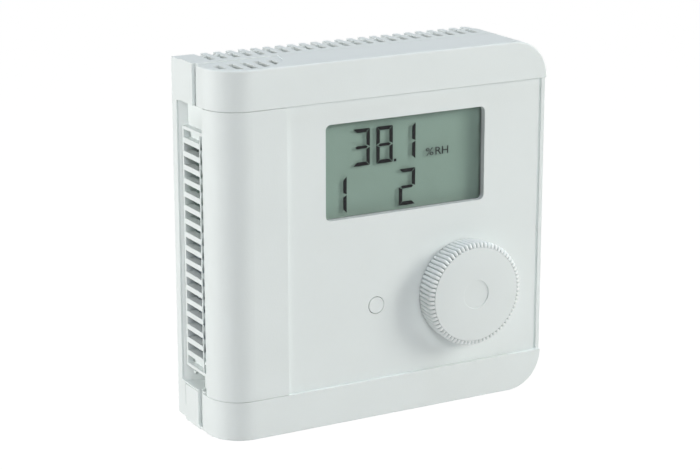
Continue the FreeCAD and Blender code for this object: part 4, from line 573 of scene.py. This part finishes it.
class HYGROSTAT_OT_display(bpy.types.Operator):
    """Finishes the display: glass, figures, background and contact strips"""
    bl_idname = "hygrostat.display"
    bl_label = "Display"

    def execute(self, context):
        look = context.scene.hygrostat_display
        dress(display_glass(look), "lcd_front_glass", "lcd_rear_glass")
        dress(display_background(look), "lcd_reflector")
        ink = moulded_plastic("Display figures", look.figures, 0.6, grain_size=0.0002, grain_depth=0.000001,
                              shift=0.1)
        dress(ink, "lcd_segments")
        dress(moulded_plastic("Contact rubber", (0.35, 0.20, 0.20), 0.7), "contact_strips")
        return {"FINISHED"}


class HYGROSTAT_OT_units(bpy.types.Operator):
    """Writes the unit of the upper figures on the display"""
    bl_idname = "hygrostat.units"
    bl_label = "Unit"

    def execute(self, context):
        look = context.scene.hygrostat_display
        low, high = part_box("lcd_segments")
        middle = middle_of("lcd_front_glass")
        foot = middle.z + look.unit_rise
        thick = (high.y - low.y) * INK_SHARE
        depth = (low.y + high.y) / 2
        bm = bmesh.new()
        # Each word's left edge is measured from the middle of the display.
        for text, left, width, weight in (("%", 7.6 * MM, 2.4 * MM, 0.0),
                                          ("RH", 10.65 * MM, 4.05 * MM, look.unit_weight)):
            curve = bpy.data.curves.new("unit", "FONT")
            curve.body = text
            curve.extrude = WORD_EXTRUDE
            curve.offset = weight
            words = bpy.data.objects.new("unit", curve)
            context.scene.collection.objects.link(words)
            mesh = bpy.data.meshes.new_from_object(words.evaluated_get(context.evaluated_depsgraph_get()))
            bpy.data.objects.remove(words)
            bpy.data.curves.remove(curve)
            corners = [vert.co for vert in mesh.vertices]
            x_low, x_high = min(c.x for c in corners), max(c.x for c in corners)
            y_low, y_high = min(c.y for c in corners), max(c.y for c in corners)
            z_low, z_high = min(c.z for c in corners), max(c.z for c in corners)
            for vert in mesh.vertices:
                across = (vert.co.x - x_low) / (x_high - x_low) * width
                rise = (vert.co.y - y_low) / (y_high - y_low) * look.unit_height
                level = (vert.co.z - (z_low + z_high) / 2) / (z_high - z_low) * thick
                vert.co = Vector((middle.x + left + across, depth - level, foot + rise))
            bm.from_mesh(mesh)
            bpy.data.meshes.remove(mesh)
        bmesh.ops.remove_doubles(bm, verts=bm.verts, dist=WELD)
        ink = NODES["lcd_segments"].material_slots[0].material
        finished(bm, "display_unit", ink, "front")
        return {"FINISHED"}


class HYGROSTAT_OT_boards(bpy.types.Operator):
    """Finishes the circuit boards and what is soldered to them"""
    bl_idname = "hygrostat.boards"
    bl_label = "Boards"

    def execute(self, context):
        look = context.scene.hygrostat_inside
        dress(solder_mask(look), "control_board", "power_board", "humidity_board")
        black = moulded_plastic("Black component plastic", (0.02, 0.02, 0.022), 0.45, grain_size=0.0002,
                                grain_depth=0.000006, shift=0.1, mottle_size=0.004)
        dress(black, "encoder_body", "switch_plunger", "button_switch", "board_socket", "power_converter",
              "microcontroller", "small_chips")
        dress(moulded_plastic("Sensor case", (0.75, 0.75, 0.72), 0.5), "humidity_sensor")
        dress(plated_metal("Turned aluminium", (0.78, 0.78, 0.79), 0.28), "encoder_shaft")
        dress(plated_metal("Gold plate", (0.85, 0.65, 0.32), 0.25), "header_pins")
        return {"FINISHED"}


class HYGROSTAT_OT_power(bpy.types.Operator):
    """Finishes the terminals, the relays, the fuse and the other mains parts"""
    bl_idname = "hygrostat.power"
    bl_label = "Mains side"

    def execute(self, context):
        look = context.scene.hygrostat_inside
        dress(moulded_plastic("Terminal plastic", look.terminal, 0.45, shift=0.06, mottle_size=0.005),
              "supply_terminals", "output_terminals")
        dress(moulded_plastic("Relay plastic", look.relay, 0.3, shift=0.05, mottle_size=0.006),
              "relay_stage_1", "relay_stage_2")
        dress(moulded_plastic("Shrink sleeve", (0.05, 0.05, 0.07), 0.25, shift=0.1, mottle_size=0.003),
              "smoothing_capacitors")
        dress(moulded_plastic("Dipped coat", (0.10, 0.25, 0.50), 0.35, shift=0.1, mottle_size=0.002),
              "varistor")
        dress(plated_metal("Nickel plate", (0.72, 0.71, 0.69), 0.25), "mains_fuse")
        dress(plated_metal("Plated brass", (0.80, 0.66, 0.38), 0.3), "clamp_plates")
        return {"FINISHED"}


class HYGROSTAT_OT_screws(bpy.types.Operator):
    """Finishes the screws"""
    bl_idname = "hygrostat.screws"
    bl_label = "Screws"

    def execute(self, context):
        zinc = plated_metal("Zinc plated steel", (0.62, 0.63, 0.65), 0.32)
        dress(zinc, "terminal_screws", "plate_screws", "power_board_screws", "control_board_screws")
        return {"FINISHED"}


def soft_lamp(name, place, target, size, power, colour):
    """A square lamp that faces a point."""
    data = bpy.data.lights.new(name, "AREA")
    data.shape = "SQUARE"
    data.size = size
    data.energy = power
    data.color = colour
    lamp = bpy.data.objects.new(name, data)
    lamp.location = place
    lamp.rotation_euler = (Vector(target) - Vector(place)).to_track_quat("-Z", "Y").to_euler()
    bpy.context.scene.collection.objects.link(lamp)


class HYGROSTAT_OT_stage(bpy.types.Operator):
    """Sets up the floor, the lamps, the surroundings and the camera"""
    bl_idname = "hygrostat.stage"
    bl_label = "Stage"

    def execute(self, context):
        scene = context.scene
        look = scene.hygrostat_stage
        scene.view_settings.view_transform = "Standard"

        bm = bmesh.new()
        bmesh.ops.create_grid(bm, x_segments=2, y_segments=2, size=FLOOR_HALF)
        bmesh.ops.translate(bm, verts=bm.verts, vec=(0, 0, CAD_BOX[0].z - look.floor_drop))
        mesh = bpy.data.meshes.new("floor")
        bm.to_mesh(mesh)
        bm.free()
        floor = bpy.data.objects.new("floor", mesh)
        scene.collection.objects.link(floor)
        material, tree, shader = new_material("Pale floor")
        shader.inputs["Base Color"].default_value = (0.9, 0.9, 0.9, 1)
        shader.inputs["Roughness"].default_value = 0.8
        white = add(tree, "ShaderNodeEmission", {"Color": (1, 1, 1, 1), "Strength": 1.1})
        path = add(tree, "ShaderNodeLightPath")
        seen = arithmetic(tree, "MULTIPLY", path.outputs["Is Camera Ray"], 0.9)
        show(tree, add(tree, "ShaderNodeMixShader", {0: seen, 1: shader.outputs[0], 2: white.outputs[0]}))
        mesh.materials.append(material)

        world = bpy.data.worlds.new("Studio")
        world.use_nodes = True
        scene.world = world
        tree = world.node_tree
        tree.nodes.clear()
        path = add(tree, "ShaderNodeLightPath")
        seen = arithmetic(tree, "MAXIMUM", path.outputs["Is Camera Ray"], path.outputs["Is Glossy Ray"])
        seen = arithmetic(tree, "MAXIMUM", seen, path.outputs["Is Transmission Ray"])
        light = add(tree, "ShaderNodeBackground", {"Color": (0.93, 0.97, 1.0, 1), "Strength": look.sky})
        white = add(tree, "ShaderNodeBackground", {"Color": (1, 1, 1, 1), "Strength": 1.0})
        chosen = add(tree, "ShaderNodeMixShader", {0: seen, 1: light.outputs[0], 2: white.outputs[0]})
        output = add(tree, "ShaderNodeOutputWorld")
        tree.links.new(chosen.outputs[0], output.inputs["Surface"])

        # Each lamp's turn to the right of straight ahead and its rise above level are in degrees.
        middle = (CAD_BOX[0] + CAD_BOX[1]) / 2
        for name, turn, rise, size, power, colour in (
                ("key_lamp", 53, 22, 0.45, look.key, (1.0, 1.0, 0.95)),
                ("side_lamp", -110, 11, 0.35, look.side, (1.0, 1.0, 0.98)),
                ("top_lamp", 0, 85, 0.35, look.top, (0.82, 0.9, 1.0)),
                ("fill_lamp", -15, 20, 0.35, look.fill, (0.98, 0.99, 1.0))):
            across, up = math.radians(turn), math.radians(rise)
            way = Vector((math.sin(across) * math.cos(up), -math.cos(across) * math.cos(up), math.sin(up)))
            soft_lamp(name, middle + way * LAMP_WAY, middle, size, power, colour)

        data = bpy.data.cameras.new("camera")
        data.sensor_width = CAMERA_SENSOR
        data.lens = CAMERA_LENS
        data.clip_start = 0.01
        data.clip_end = 20.0
        camera = bpy.data.objects.new("camera", data)
        camera.location = CAMERA_PLACE
        camera.rotation_euler = (math.radians(90 - CAMERA_DOWN), 0, math.radians(-CAMERA_TURN))
        scene.collection.objects.link(camera)
        scene.camera = camera
        return {"FINISHED"}


class HYGROSTAT_PT_pieces(bpy.types.Panel):
    """Lists the pieces and their sizes and colours"""
    bl_idname = "HYGROSTAT_PT_pieces"
    bl_label = "Hygrostat"
    bl_space_type = "VIEW_3D"
    bl_region_type = "UI"
    bl_category = "Hygrostat"

    def draw(self, context):
        for operator, group in STEPS:
            column = self.layout.column(align=True)
            column.operator(operator.bl_idname)
            if group:
                settings = getattr(context.scene, group)
                for name in settings.__annotations__:
                    column.prop(settings, name)


GROUPS = {
    "hygrostat_plastic": HYGROSTAT_PG_plastic,
    "hygrostat_knob": HYGROSTAT_PG_knob,
    "hygrostat_display": HYGROSTAT_PG_display,
    "hygrostat_inside": HYGROSTAT_PG_inside,
    "hygrostat_stage": HYGROSTAT_PG_stage,
}
STEPS = [
    (HYGROSTAT_OT_housing, "hygrostat_plastic"),
    (HYGROSTAT_OT_knob, "hygrostat_knob"),
    (HYGROSTAT_OT_display, "hygrostat_display"),
    (HYGROSTAT_OT_units, None),
    (HYGROSTAT_OT_boards, "hygrostat_inside"),
    (HYGROSTAT_OT_power, None),
    (HYGROSTAT_OT_screws, None),
    (HYGROSTAT_OT_stage, "hygrostat_stage"),
]


def register():
    for name, group in GROUPS.items():
        bpy.utils.register_class(group)
        setattr(bpy.types.Scene, name, bpy.props.PointerProperty(type=group))
    for operator, group in STEPS:
        bpy.utils.register_class(operator)
    bpy.utils.register_class(HYGROSTAT_PT_pieces)


def unregister():
    bpy.utils.unregister_class(HYGROSTAT_PT_pieces)
    for operator, group in reversed(STEPS):
        bpy.utils.unregister_class(operator)
    for name, group in reversed(GROUPS.items()):
        delattr(bpy.types.Scene, name)
        bpy.utils.unregister_class(group)


def make_all():
    """Makes every piece in order."""
    register()
    for operator, group in STEPS:
        family, name = operator.bl_idname.split(".")
        getattr(getattr(bpy.ops, family), name)()


if __name__ == "__main__":
    make_all()
